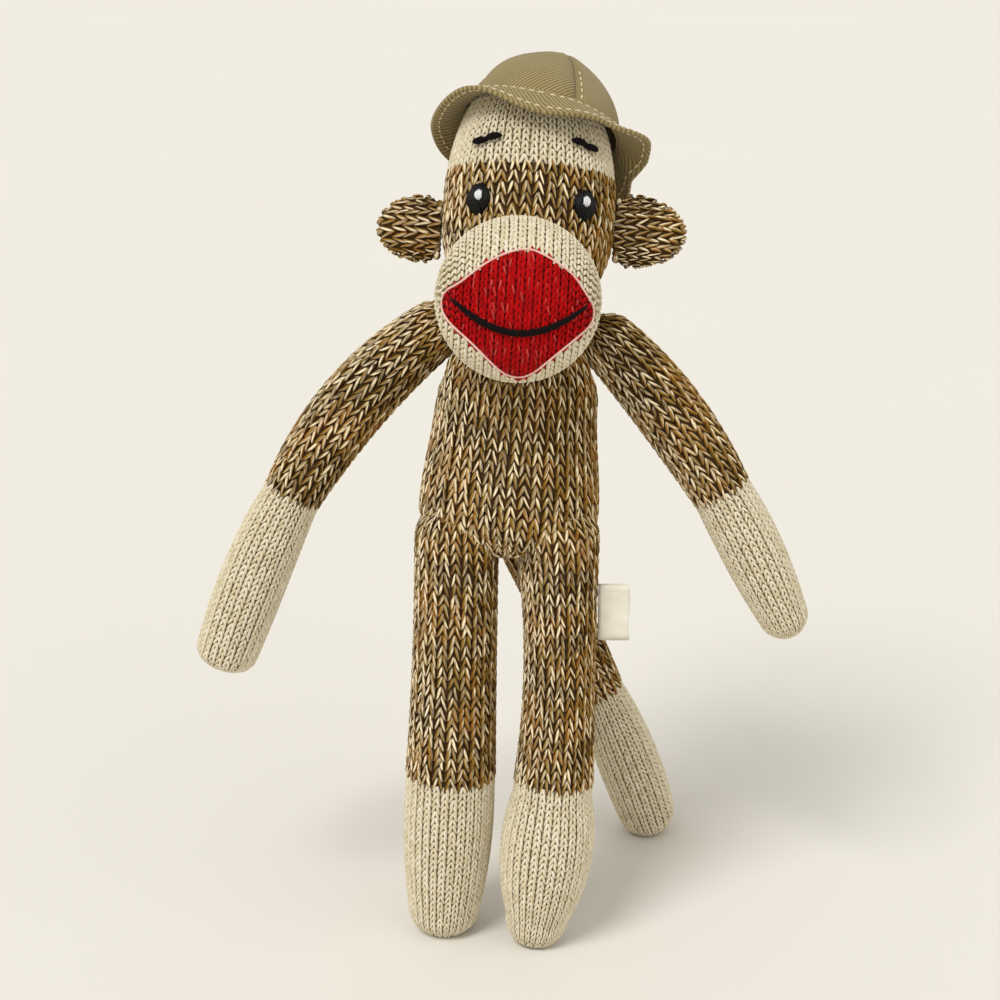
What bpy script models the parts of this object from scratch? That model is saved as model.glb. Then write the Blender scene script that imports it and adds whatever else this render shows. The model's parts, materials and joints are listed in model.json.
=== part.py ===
"""Knitted sock monkey doll with a cloth bucket hat, as sewn and stuffed pieces, in metres, +Z up, facing -Y.

Each limb is a knitted cover over its own stuffing. A cover ends in a dome at its joint, and the larger
piece that it joins is cut to that dome, so the joint can turn. The doll's own right side is at -X.
"""

import math

import bmesh
import bpy
from mathutils import Matrix, Vector

# Overall stance, in metres and degrees
HIP_HEIGHT = 0.1472
TORSO_LENGTH = 0.0725
TORSO_LEAN_BACK = 6.3
TORSO_LEAN_LEFT = 4.1
HEAD_TILT_BACK = 21.0
HEAD_LEAN_LEFT = 3.5
BODY_OFFSET = 0.0024
BODY_FORWARD = 0.0085
FLOOR_CUT = 0.0012

# Cloth, stuffing and the spaces between pieces
KNIT_WALL = 0.0016
SEAT_GAP = 0.0003
STUFFING_GAP = 0.0010
JOINT_GAP = 0.0005
SWING_GAP = 0.00035
SWING_REACH = 0.04

# Torso, a turned form that is flatter from front to back
TORSO_HIP_HALF_WIDTH = 0.0301
TORSO_CHEST_HALF_WIDTH = 0.0269
TORSO_DEPTH_SHARE = 0.74
TORSO_BOTTOM_DROP = 0.008
TORSO_HIP_RISE = 0.016
TORSO_CHEST_RISE = 0.046
TORSO_NECK_RADIUS = 0.0115

# Legs, from the hip joint to the floor: the radii run from the hip down to the toe
HIP_SPACING = 0.034
HIP_FORWARD = 0.006
HIP_SWINGS = (-20.0, 35.0, 90.0)
LEG_ROOT_RADIUS = 0.0140
RIGHT_LEG_RADII = (LEG_ROOT_RADIUS, 0.0142, 0.0154)
RIGHT_FOOT_RADII = (0.0154, 0.0152, 0.0126)
LEFT_LEG_RADII = (LEG_ROOT_RADIUS, 0.0121, 0.0136)
LEFT_FOOT_RADII = (0.0136, 0.0160, 0.0110)
FOOT_LENGTH = 0.0467
RIGHT_TOE_PLACE = (-0.0200, -0.0160)
LEFT_TOE_PLACE = (0.0130, -0.0250)
RIGHT_TOE_DEPTH = 0.0100
LEFT_TOE_DEPTH = 0.0110
LEG_BOWS = (0.0015, 0.0070)

# Arms, which droop from the shoulder joints
SHOULDER_HALF_SPACING = 0.0295
SHOULDER_RISE = 0.0670
ARM_ROOT_RADIUS = 0.0098
ARM_LOWERINGS = (4.0, 20.0)
ARM_SWING_FLARE = 0.0045
RIGHT_ARM_RADII = (ARM_ROOT_RADIUS, 0.0116, 0.0100)
RIGHT_HAND_RADII = (0.0100, 0.0115, 0.0107)
LEFT_ARM_RADII = (ARM_ROOT_RADIUS, 0.0114, 0.0102)
LEFT_HAND_RADII = (0.0102, 0.0106, 0.0086)
RIGHT_ARM_LENGTH = 0.0785
RIGHT_HAND_LENGTH = 0.0595
RIGHT_HAND_END_DEPTH = 0.0062
RIGHT_ARM_DROOP = (36.0, 69.5)
LEFT_ARM_LENGTH = 0.0680
LEFT_HAND_LENGTH = 0.0478
LEFT_HAND_END_DEPTH = 0.0084
LEFT_ARM_DROOP = (45.0, 64.5)

# Tail, from the seat to the floor behind the left foot
TAIL_ROOT_BACK = 0.0210
TAIL_ROOT_DROP = -0.0010
TAIL_ROOT_RADIUS = 0.0078
TAIL_SWINGS = (-44.0, -4.0, 36.0)
TAIL_LIFTS = (18.0, 50.0, 80.0)
TAIL_SWING_FLARE = 0.003
TAIL_MIDDLE_RADIUS = 0.0096
TAIL_CUFF_RADIUS = 0.0092
TAIL_TIP_MIDDLE_RADIUS = 0.0116
TAIL_END_RADIUS = 0.0110
TAIL_TIP_LENGTH = 0.0615
TAIL_END_PLACE = (0.0572, 0.0590)
TAIL_BOW = 0.0060

# Head, a turned form on its own tilted axis, with heights measured up that axis from the neck
HEAD_PIVOT_RISE = 0.014
HEAD_DOME_RADIUS = 0.015
HEAD_DOME_EDGE = 60.0
HEAD_HALF_WIDTH = 0.0285
HEAD_DEPTH_SHARE = 0.88
HEAD_CHEEK_RISE = 0.032
HEAD_BROW_RISE = 0.036
HEAD_HEIGHT = 0.086
HEAD_TOP_FULLNESS = 1.1
CROWN_LINE = 0.048
NECK_TIE_RADIUS = 0.0022
NECK_RING_POLAR = 38.0
HEAD_TURN = 20.0
HEAD_NOD_DOWN = 5.0

# Muzzle, a rounded pocket low on the face
MUZZLE_RADIUS = 0.0266
MUZZLE_DEPTH_RADIUS = 0.0205
MUZZLE_FORWARD = 0.030
MUZZLE_RISE = 0.0025
MUZZLE_SIDE = -0.0026
MUZZLE_WALL = 0.0014
LIP_TOP_SHARE = 0.55
LIP_CORNER_TOP_SHARES = (0.90, -0.07)
LIP_CORNER_BOTTOM_SHARES = (0.88, -0.25)
LIP_BOTTOM_SHARE = -1.00
LIP_ROUNDING_SHARE = 0.26
MOUTH_RISE_SHARE = -0.12
MOUTH_DIP_SHARE = 0.38
MOUTH_HALF_WIDTH_SHARE = 0.72
MOUTH_THREAD_RADIUS = 0.0009

# Eyes, brows and ears
EYE_RISE = 0.0358
EYE_AZIMUTHS = (36.5, 39.0)
EYE_HALF_WIDTH = 0.0043
EYE_HALF_HEIGHT = 0.0049
EYE_HALF_THICKNESS = 0.0022
GLINT_RADIUS = 0.0019
GLINT_HALF_THICKNESS = 0.0009
BROW_RISE = 0.0555
BROW_AZIMUTH = 40.0
BROW_THREAD_RADIUS = 0.0008
BROW_HALF_LENGTH = 0.0048
EAR_RISES = (0.0287, 0.0320)
EAR_REACHES = (0.0170, 0.0198)
EAR_ROOT_DEPTH = 0.0045
EAR_HALF_HEIGHTS = (0.0116, 0.0125)
EAR_HALF_THICKNESS = 0.0032
EAR_SQUARENESS = 0.45
EAR_HINGE_GAP = 0.0016

# Hat, a crown of four gores and a wavy stitched brim
HAT_BELOW_HEAD_TOP = 0.0205
HAT_BACK = 0.0020
HAT_SIDE = 0.0026
HAT_TILT_BACK = 13.0
HAT_TILT_LEFT = 10.0
HAT_HALF_WIDTH = 0.0268
HAT_DEPTH_SHARE = 0.95
HAT_CROWN_HEIGHT = 0.0275
HAT_CROWN_FULLNESS = 0.80
HAT_CLOTH = 0.0012
HAT_SEAM_AZIMUTH = 20.0

# The brim's edge around the hat, from the front towards the doll's left: (azimuth, reach, drop)
BRIM_EDGE = (
    (0, 0.0060, 0.0095),
    (40, 0.0070, 0.0045),
    (72, 0.0116, 0.0016),
    (86, 0.0108, 0.0036),
    (98, 0.0076, 0.0086),
    (116, 0.0106, 0.0122),
    (180, 0.0060, 0.0130),
    (230, 0.0080, 0.0105),
    (270, 0.0095, 0.0085),
    (312, 0.0105, 0.0042),
)

# Label in the left leg's side seam
LABEL_HEIGHT = 0.0200
LABEL_REACH = 0.0105
LABEL_LAYER_GAP = 0.0010
LABEL_CLOTH = 0.0004
LABEL_DROP = 0.0260

# Facets
TUBE_BEVEL_RESOLUTION = 5
FILL_BEVEL_RESOLUTION = 3
TURNED_STEPS = 24
FILL_STEPS = 16
ROUTE_STEPS = 60

UP = Vector((0, 0, 1))
RIGHT, LEFT = -1, 1


def clear_scene():
    for old in list(bpy.data.objects):
        bpy.data.objects.remove(old)


def new_collection(name):
    made = bpy.data.collections.new(name)
    bpy.context.scene.collection.children.link(made)
    return made


def material(name, colour, roughness, metallic):
    made = bpy.data.materials.new(name)
    made.use_nodes = True
    shader = made.node_tree.nodes["Principled BSDF"]
    shader.inputs["Base Color"].default_value = (*colour, 1.0)
    shader.inputs["Roughness"].default_value = roughness
    shader.inputs["Metallic"].default_value = metallic
    return made


clear_scene()
doll = new_collection("sock_monkey_doll")
cutters = new_collection("cutters")

# Finishes: name, colour, roughness and metallic value
MARL_KNIT = ("brown marl knit", (0.23, 0.14, 0.07), 0.95, 0.0)
CREAM_KNIT = ("cream knit", (0.62, 0.56, 0.42), 0.95, 0.0)
RED_KNIT = ("red knit", (0.60, 0.01, 0.01), 0.9, 0.0)
BLACK_THREAD = ("black thread", (0.01, 0.01, 0.01), 0.7, 0.0)
WHITE_THREAD = ("white thread", (0.85, 0.85, 0.82), 0.6, 0.0)
KHAKI_TWILL = ("khaki twill", (0.30, 0.24, 0.12), 0.9, 0.0)
WHITE_SATIN = ("white satin ribbon", (0.75, 0.73, 0.66), 0.5, 0.0)
POLYESTER_FILL = ("polyester filling", (0.85, 0.85, 0.83), 1.0, 0.0)


def add_piece(name, mesh, finish):
    """A piece of the doll in its own material, its mesh already in world places."""
    piece = bpy.data.objects.new(name, mesh)
    doll.objects.link(piece)
    finish_name, colour, roughness, metallic = finish
    mesh.materials.append(material(f"{name} {finish_name}", colour, roughness, metallic))
    return piece


def add_cutter(name, mesh):
    cutter = bpy.data.objects.new(name, mesh)
    cutters.objects.link(cutter)
    cutter.hide_render = True
    cutter.display_type = "WIRE"
    return cutter


def finish_mesh(bm, name, place=Matrix()):
    """Merges doubles, faces the surface outwards, puts it in its place and shades it smooth."""
    bmesh.ops.remove_doubles(bm, verts=bm.verts, dist=0.00002)
    bmesh.ops.recalc_face_normals(bm, faces=bm.faces)
    bm.transform(place)
    mesh = bpy.data.meshes.new(name)
    bm.to_mesh(mesh)
    bm.free()
    mesh.shade_smooth()
    mesh.set_sharp_from_angle(angle=math.radians(40))
    return mesh


def thicken(piece, wall):
    """Gives an open surface its wall, inwards."""
    solidify = piece.modifiers.new("wall", "SOLIDIFY")
    solidify.thickness = wall
    solidify.offset = -1
    solidify.use_even_offset = True


def cut(piece, *tools, operation="DIFFERENCE"):
    for tool in tools:
        boolean = piece.modifiers.new(tool.name, "BOOLEAN")
        boolean.operation = operation
        boolean.solver = "EXACT"
        boolean.object = tool


def ball_cutter(name, centre, radius, segments=20):
    bm = bmesh.new()
    bmesh.ops.create_uvsphere(bm, u_segments=segments, v_segments=segments // 2, radius=radius)
    return add_cutter(name, finish_mesh(bm, name, Matrix.Translation(centre)))


def box_cutter(name, place, size):
    bm = bmesh.new()
    bmesh.ops.create_cube(bm, size=1.0)
    bmesh.ops.scale(bm, vec=size, verts=bm.verts)
    return add_cutter(name, finish_mesh(bm, name, place))


def spin_round(bm, geom, steps):
    bmesh.ops.spin(
        bm, geom=geom, cent=(0, 0, 0), axis=(0, 0, 1), angle=2 * math.pi, steps=steps, use_merge=True
    )


def turned_mesh(name, profile, place, depth_share=1.0, steps=TURNED_STEPS):
    """A profile of (radius, height) turned about its own Z axis, narrowed front to back and put in place."""
    bm = bmesh.new()
    ends = [bm.verts.new((radius, 0, height)) for radius, height in profile]
    edges = [bm.edges.new(pair) for pair in zip(ends, ends[1:])]
    spin_round(bm, ends + edges, steps)
    bmesh.ops.scale(bm, vec=(1, depth_share, 1), verts=bm.verts)
    return finish_mesh(bm, name, place)


def tube_mesh(name, rings, resolution, flat_ends=False):
    """A round tube through (centre, radius) rings, closed where a radius is 0 or flat_ends is set."""
    curve = bpy.data.curves.new(name, "CURVE")
    curve.dimensions = "3D"
    curve.use_fill_caps = flat_ends
    curve.bevel_depth = 1.0
    curve.bevel_resolution = resolution
    spline = curve.splines.new("POLY")
    spline.points.add(len(rings) - 1)
    for point, (centre, radius) in zip(spline.points, rings):
        point.co = (*centre, 1)
        point.radius = radius
    holder = bpy.data.objects.new(name, curve)
    doll.objects.link(holder)
    graph = bpy.context.evaluated_depsgraph_get()
    bm = bmesh.new()
    bm.from_mesh(bpy.data.meshes.new_from_object(holder.evaluated_get(graph)))
    bpy.data.objects.remove(holder)
    return finish_mesh(bm, name)


def route_through(points):
    """Points evenly spread in parameter along one Bezier curve of any degree."""
    def at(t):
        rung = list(points)
        while len(rung) > 1:
            rung = [a.lerp(b, t) for a, b in zip(rung, rung[1:])]
        return rung[0]

    return [at(i / ROUTE_STEPS) for i in range(ROUTE_STEPS + 1)]


def drooping_route(start, side, angles, length):
    """A limb's centre line whose slope below level eases from the first angle to the second."""
    points = [start.copy()]
    step = length / ROUTE_STEPS
    for i in range(ROUTE_STEPS):
        ease = math.sin(math.pi / 2 * (i + 0.5) / ROUTE_STEPS)
        slope = math.radians(angles[0] + (angles[1] - angles[0]) * ease)
        points.append(points[-1] + Vector((side * math.cos(slope), 0, -math.sin(slope))) * step)
    return points


def route_length(route):
    return sum((b - a).length for a, b in zip(route, route[1:]))


def on_route(route, distance):
    """The place and direction at a distance along a route, straight on past either end."""
    travelled = 0.0
    for a, b in zip(route, route[1:]):
        step = (b - a).length
        if travelled + step >= distance:
            return a + (b - a) * ((distance - travelled) / step), (b - a).normalized()
        travelled += step
    direction = (route[-1] - route[-2]).normalized()
    return route[-1] + direction * (distance - travelled), direction


def swell(share, first, middle, last):
    """A radius that passes through three values at the start, the middle and the end."""
    return (
        first * (1 - share) * (1 - 2 * share)
        + middle * 4 * share * (1 - share)
        + last * share * (2 * share - 1)
    )


def limb_rings(route, begin, end, radii, shrink, start_hole, end_depth, tube_rings=5):
    """Rings of one stuffed length: a dome at its joint, a swelling tube, then a rounded or an open end.

    begin and end are distances along the route, and the dome's centre is at begin. end_depth is how far
    the rounded end reaches past end, and 0 leaves it open.
    """
    rings = []
    joint, direction = on_route(route, begin)
    dome = radii[0] - shrink
    for polar in (start_hole, 35.0, 55.0, 75.0):
        angle = math.radians(polar)
        rings.append((joint - direction * (dome * math.cos(angle)), dome * math.sin(angle)))
    for i in range(tube_rings):
        share = i / (tube_rings - 1)
        place, direction = on_route(route, begin + (end - begin) * share)
        rings.append((place, swell(share, *radii) - shrink))
    if end_depth:
        for polar in (68.0, 46.0, 23.0, 0.0):
            angle = math.radians(polar)
            along = (end_depth - shrink) * math.cos(angle)
            rings.append((place + direction * along, (radii[2] - shrink) * math.sin(angle)))
    return rings


FILL_SHRINK = KNIT_WALL + STUFFING_GAP
DOME_HOLE = 18.0
CUFF_OPENING = 24.0


def build_limb(names, route, joint_at, radii_upper, radii_lower, end_at, end_depth, cuts_lower=()):
    """The two knitted lengths of a limb with their stuffing, hinged where the yarn changes colour.

    The upper length stops above the middle joint, where its rim stands CUFF_OPENING degrees up the lower
    length's dome, and is cut to that dome.
    """
    upper, lower, upper_fill, lower_fill = names
    joint, _ = on_route(route, joint_at)
    socket = ball_cutter(lower + "_dome_space", joint, radii_lower[0] + JOINT_GAP)
    rim = joint_at - radii_lower[0] * math.sin(math.radians(CUFF_OPENING))

    rings = limb_rings(route, 0.0, rim, radii_upper, 0.0, DOME_HOLE, 0.0)
    cover = add_piece(upper, tube_mesh(upper, rings, TUBE_BEVEL_RESOLUTION), MARL_KNIT)
    thicken(cover, KNIT_WALL)
    cut(cover, socket)

    rings = limb_rings(route, 0.0, rim, radii_upper, FILL_SHRINK, 0.0, 0.0, 4)
    fill = add_piece(upper_fill, tube_mesh(upper_fill, rings, FILL_BEVEL_RESOLUTION, True), POLYESTER_FILL)
    cut(fill, socket)

    rings = limb_rings(route, joint_at, end_at, radii_lower, 0.0, DOME_HOLE, end_depth)
    cover = add_piece(lower, tube_mesh(lower, rings, TUBE_BEVEL_RESOLUTION), CREAM_KNIT)
    thicken(cover, KNIT_WALL)
    cut(cover, *cuts_lower)

    rings = limb_rings(route, joint_at, end_at, radii_lower, FILL_SHRINK, 0.0, end_depth, 4)
    add_piece(lower_fill, tube_mesh(lower_fill, rings, FILL_BEVEL_RESOLUTION), POLYESTER_FILL)
    return joint


# Frames of the torso and the head
hip_middle = Vector((BODY_OFFSET, -BODY_FORWARD, HIP_HEIGHT))
torso_turn = Matrix.Rotation(math.radians(TORSO_LEAN_LEFT), 4, "Y") @ Matrix.Rotation(
    math.radians(-TORSO_LEAN_BACK), 4, "X"
)
torso_place = Matrix.Translation(hip_middle) @ torso_turn
neck = torso_place @ Vector((0, 0, TORSO_LENGTH))
head_turn = Matrix.Rotation(math.radians(HEAD_LEAN_LEFT), 4, "Y") @ Matrix.Rotation(
    math.radians(-HEAD_TILT_BACK), 4, "X"
)
head_place = Matrix.Translation(neck) @ head_turn
head_axis = head_turn @ UP
head_side = head_turn @ Vector((1, 0, 0))
head_pivot = head_place @ Vector((0, 0, HEAD_PIVOT_RISE))

# Joint centres
hips = {side: hip_middle + Vector((side * HIP_SPACING / 2, -HIP_FORWARD, 0)) for side in (RIGHT, LEFT)}
shoulders = {
    side: torso_place @ Vector((side * SHOULDER_HALF_SPACING, 0, SHOULDER_RISE)) for side in (RIGHT, LEFT)
}
tail_root = hip_middle + Vector((0, TAIL_ROOT_BACK, TAIL_ROOT_DROP))


def quarter(start, end, steps, bulge_first, fullness=1.0):
    """Points of a quarter ellipse from start to end, leaving out the first.

    With bulge_first the curve leaves start level, and otherwise it leaves start straight up. A fullness
    above 1 makes the curve squarer, and one below 1 makes it flatter.
    """
    points = []
    for i in range(1, steps + 1):
        angle = math.pi / 2 * i / steps
        sine, cosine = math.sin(angle) ** (1 / fullness), math.cos(angle) ** (1 / fullness)
        across, along = (sine, 1 - cosine) if bulge_first else (1 - cosine, sine)
        points.append((start[0] + (end[0] - start[0]) * across, start[1] + (end[1] - start[1]) * along))
    return points


def torso_profile(shrink, bottom_hole=0.0):
    """Half-widths and heights of the torso, from the seat up to the neck."""
    bottom = (bottom_hole, -TORSO_BOTTOM_DROP + shrink)
    hip = (TORSO_HIP_HALF_WIDTH - shrink, TORSO_HIP_RISE)
    chest = (TORSO_CHEST_HALF_WIDTH - shrink, TORSO_CHEST_RISE)
    neck_edge = (TORSO_NECK_RADIUS - shrink, TORSO_LENGTH - shrink)
    middle = ((hip[0] + chest[0]) / 2, (hip[1] + chest[1]) / 2)
    return [bottom, *quarter(bottom, hip, 5, True), middle, chest, *quarter(chest, neck_edge, 5, False)]


def swing_space(name, joint, radius, direction, flare=0.0):
    """The room of a limb past its root, as it points one way."""
    rings = [(joint, radius), (joint + direction * SWING_REACH, radius + flare)]
    return add_cutter(name, tube_mesh(name, rings, 8, True))


# Spaces that the torso gives to the limbs and the head
torso_spaces = []
for side, word in ((RIGHT, "right"), (LEFT, "left")):
    torso_spaces.append(ball_cutter(f"{word}_hip_space", hips[side], LEG_ROOT_RADIUS + JOINT_GAP))
    for swing in HIP_SWINGS:
        angle = math.radians(swing)
        direction = Vector((0, -math.sin(angle), -math.cos(angle)))
        name = f"{word}_hip_swing_{swing:.0f}_space"
        torso_spaces.append(swing_space(name, hips[side], LEG_ROOT_RADIUS + SWING_GAP, direction))
    torso_spaces.append(ball_cutter(f"{word}_shoulder_space", shoulders[side], ARM_ROOT_RADIUS + JOINT_GAP))
    for lowered in ARM_LOWERINGS:
        angle = math.radians((RIGHT_ARM_DROOP if side == RIGHT else LEFT_ARM_DROOP)[0] + lowered)
        direction = Vector((side * math.cos(angle), 0, -math.sin(angle)))
        name = f"{word}_arm_lowered_{lowered:.0f}_space"
        radius = ARM_ROOT_RADIUS + SWING_GAP
        torso_spaces.append(swing_space(name, shoulders[side], radius, direction, ARM_SWING_FLARE))
torso_spaces.append(ball_cutter("tail_space", tail_root, TAIL_ROOT_RADIUS + JOINT_GAP))
for swung in TAIL_SWINGS:
    for lifted in TAIL_LIFTS:
        turn = Matrix.Rotation(math.radians(swung), 3, "Y") @ Matrix.Rotation(math.radians(lifted), 3, "X")
        name = f"tail_swung_{swung:.0f}_lifted_{lifted:.0f}_space"
        radius = TAIL_ROOT_RADIUS + SWING_GAP
        torso_spaces.append(swing_space(name, tail_root, radius, turn @ -UP, TAIL_SWING_FLARE))

neck_ring_polar = math.radians(NECK_RING_POLAR)
neck_ring_reach = HEAD_DOME_RADIUS + SEAT_GAP + NECK_TIE_RADIUS
neck_ring_radius = neck_ring_reach * math.sin(neck_ring_polar)
neck_ring_rise = HEAD_PIVOT_RISE - neck_ring_reach * math.cos(neck_ring_polar)
torso_top = neck_ring_rise - NECK_TIE_RADIUS - SEAT_GAP
NECK_SPACE = 0.06
neck_space = box_cutter(
    "neck_space",
    head_place @ Matrix.Translation((0, 0, torso_top + NECK_SPACE / 2)),
    (NECK_SPACE, NECK_SPACE, NECK_SPACE),
)

# Ties: the drawn threads that close an arm or the tail where it is sewn to the torso
TIE_THREAD_RADIUS = 0.0007
TIE_POLAR = math.radians(20)


def ring_mesh(name, place, major, minor, major_segments=16, minor_segments=6):
    """A ring about its own Z axis, turned from a small circle."""
    bm = bmesh.new()
    circle = bmesh.ops.create_circle(bm, segments=minor_segments, radius=minor)["verts"]
    bmesh.ops.rotate(bm, cent=(0, 0, 0), matrix=Matrix.Rotation(math.pi / 2, 3, "X"), verts=circle)
    bmesh.ops.translate(bm, vec=(major, 0, 0), verts=circle)
    spin_round(bm, circle + bm.edges[:], major_segments)
    return finish_mesh(bm, name, place)


def turn_to(direction):
    """The turn that takes +Z to a direction."""
    return UP.rotation_difference(direction).to_matrix().to_4x4()


def add_tie(name, joint, inward, dome):
    """A tie ring just past a limb's dome, on the torso's side. Returns the space that it needs."""
    reach = dome + JOINT_GAP + TIE_THREAD_RADIUS
    centre = joint + inward * (reach * math.cos(TIE_POLAR))
    place = Matrix.Translation(centre) @ turn_to(inward)
    add_piece(name, ring_mesh(name, place, reach * math.sin(TIE_POLAR), TIE_THREAD_RADIUS), WHITE_THREAD)
    room = reach * math.sin(TIE_POLAR) + TIE_THREAD_RADIUS + SEAT_GAP
    rings = [(centre - inward * room, room), (centre + inward * (TIE_THREAD_RADIUS + SEAT_GAP), room)]
    return add_cutter(name + "_space", tube_mesh(name + "_space", rings, 4, True))


tie_spaces = [
    add_tie("right_arm_tie", shoulders[RIGHT], Vector((1, 0, 0)), ARM_ROOT_RADIUS),
    add_tie("left_arm_tie", shoulders[LEFT], Vector((-1, 0, 0)), ARM_ROOT_RADIUS),
    add_tie("tail_tie", tail_root, Vector((0, -1, 0)), TAIL_ROOT_RADIUS),
]

# Torso
torso_spaces.append(neck_space)
torso = add_piece(
    "torso_cover", turned_mesh("torso_cover", torso_profile(0.0), torso_place, TORSO_DEPTH_SHARE), MARL_KNIT
)
thicken(torso, KNIT_WALL)
cut(torso, *torso_spaces, *tie_spaces)


def stuffing_share(half_width, depth_share):
    """The depth share that leaves a stuffing as far from its cover in front as at the sides."""
    return (half_width * depth_share - FILL_SHRINK) / (half_width - FILL_SHRINK)


fill_profile = torso_profile(FILL_SHRINK)
fill_profile.append((0.0, fill_profile[-1][1]))
fill_share = stuffing_share(TORSO_CHEST_HALF_WIDTH, TORSO_DEPTH_SHARE)
torso_fill = add_piece(
    "torso_stuffing",
    turned_mesh("torso_stuffing", fill_profile, torso_place, fill_share, FILL_STEPS),
    POLYESTER_FILL,
)
SEAT_RISE = 0.0024
seat_middle = hip_middle - Vector((0, 0, TORSO_LENGTH / 2 - SEAT_RISE))
seat_space = box_cutter("seat_space", Matrix.Translation(seat_middle), (TORSO_LENGTH,) * 3)
cut(torso_fill, *torso_spaces, *tie_spaces, seat_space)

# Legs
FLOOR_SLAB = (0.4, 0.4, 0.02)
floor_space = box_cutter("floor_space", Matrix.Translation((0, 0, -FLOOR_SLAB[2] / 2)), FLOOR_SLAB)
knees = {}
for side, word, toe, depth, bow, leg_radii, foot_radii in (
    (RIGHT, "right", RIGHT_TOE_PLACE, RIGHT_TOE_DEPTH, LEG_BOWS[0], RIGHT_LEG_RADII, RIGHT_FOOT_RADII),
    (LEFT, "left", LEFT_TOE_PLACE, LEFT_TOE_DEPTH, LEG_BOWS[1], LEFT_LEG_RADII, LEFT_FOOT_RADII),
):
    toe_centre = Vector((*toe, depth - FLOOR_CUT))
    leg_route = route_through([hips[side], (hips[side] + toe_centre) / 2 + Vector((bow, 0, 0)), toe_centre])
    end = route_length(leg_route)
    knees[side] = build_limb(
        (f"{word}_leg", f"{word}_foot", f"{word}_leg_stuffing", f"{word}_foot_stuffing"),
        leg_route,
        end - FOOT_LENGTH,
        leg_radii,
        foot_radii,
        end,
        depth,
        cuts_lower=(floor_space,),
    )

# Arms
elbows = {}
arm_directions = {}
for side, word, length, hand_length, droop, arm_radii, hand_radii, depth in (
    (RIGHT, "right", RIGHT_ARM_LENGTH, RIGHT_HAND_LENGTH, RIGHT_ARM_DROOP, RIGHT_ARM_RADII, RIGHT_HAND_RADII,
     RIGHT_HAND_END_DEPTH),
    (LEFT, "left", LEFT_ARM_LENGTH, LEFT_HAND_LENGTH, LEFT_ARM_DROOP, LEFT_ARM_RADII, LEFT_HAND_RADII,
     LEFT_HAND_END_DEPTH),
):
    arm_route = drooping_route(shoulders[side], side, droop, length + hand_length)
    elbows[side] = build_limb(
        (f"{word}_arm", f"{word}_hand", f"{word}_arm_stuffing", f"{word}_hand_stuffing"),
        arm_route,
        length,
        arm_radii,
        hand_radii,
        length + hand_length,
        depth,
    )
    arm_directions[side] = on_route(arm_route, length)[1]

# Tail
tail_end = Vector((*TAIL_END_PLACE, TAIL_END_RADIUS - FLOOR_CUT))
tail_bow = (tail_root + tail_end) / 2 + Vector((TAIL_BOW, TAIL_BOW, 0))
tail_route = route_through([tail_root, tail_bow, tail_end])
tail_length = route_length(tail_route)
tail_bend = build_limb(
    ("tail", "tail_tip", "tail_stuffing", "tail_tip_stuffing"),
    tail_route,
    tail_length - TAIL_TIP_LENGTH,
    (TAIL_ROOT_RADIUS, TAIL_MIDDLE_RADIUS, TAIL_CUFF_RADIUS),
    (TAIL_CUFF_RADIUS, TAIL_TIP_MIDDLE_RADIUS, TAIL_END_RADIUS),
    tail_length,
    TAIL_END_RADIUS,
    cuts_lower=(floor_space,),
)

# Neck tie
neck_place = head_place @ Matrix.Translation((0, 0, neck_ring_rise))
add_piece(
    "neck_gather", ring_mesh("neck_gather", neck_place, neck_ring_radius, NECK_TIE_RADIUS, 20, 8), MARL_KNIT
)


def head_profile(shrink):
    """Half-widths and heights of the head, from the neck opening to the top of the crown."""
    dome = HEAD_DOME_RADIUS - shrink
    lower = [
        (dome * math.sin(math.radians(p)), HEAD_PIVOT_RISE - dome * math.cos(math.radians(p)))
        for p in (DOME_HOLE, 39.0, HEAD_DOME_EDGE)
    ]
    cheek = (HEAD_HALF_WIDTH - shrink, HEAD_CHEEK_RISE)
    brow = (HEAD_HALF_WIDTH - shrink, HEAD_BROW_RISE)
    top = (0.0, HEAD_HEIGHT - shrink)
    crown = quarter(brow, top, 7, False, HEAD_TOP_FULLNESS)
    return [*lower, *quarter(lower[-1], cheek, 4, True), brow, *crown]


def head_half_width(rise, grow=0.0):
    """The head's half-width at a height above its cheeks."""
    share = (rise - HEAD_BROW_RISE) / (HEAD_HEIGHT + grow - HEAD_BROW_RISE)
    power = 2 * HEAD_TOP_FULLNESS
    return (HEAD_HALF_WIDTH + grow) * (1 - max(0.0, share) ** power) ** (1 / power)


def split_profile(profile, height):
    """The part of a profile below a height and the part above it, each ending on it."""
    for i, (a, b) in enumerate(zip(profile, profile[1:])):
        if a[1] < height <= b[1]:
            share = (height - a[1]) / (b[1] - a[1])
            edge = (a[0] + (b[0] - a[0]) * share, height)
            return [*profile[: i + 1], edge], [edge, *profile[i + 1 :]]
    return profile, []


# Head: brown face cover, cream crown and one stuffing
face_profile, _ = split_profile(head_profile(0.0), CROWN_LINE)
_, crown_profile = split_profile(head_profile(0.0), CROWN_LINE + SEAT_GAP)
face = add_piece(
    "head_cover", turned_mesh("head_cover", face_profile, head_place, HEAD_DEPTH_SHARE), MARL_KNIT
)
thicken(face, KNIT_WALL)
crown = add_piece(
    "head_crown", turned_mesh("head_crown", crown_profile, head_place, HEAD_DEPTH_SHARE), CREAM_KNIT
)
thicken(crown, KNIT_WALL)
fill_profile = head_profile(FILL_SHRINK)
fill_profile.insert(0, (0.0, fill_profile[0][1]))
fill_share = stuffing_share(HEAD_HALF_WIDTH, HEAD_DEPTH_SHARE)
head_fill_mesh = turned_mesh("head_stuffing", fill_profile, head_place, fill_share, FILL_STEPS)
add_piece("head_stuffing", head_fill_mesh, POLYESTER_FILL)

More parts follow.
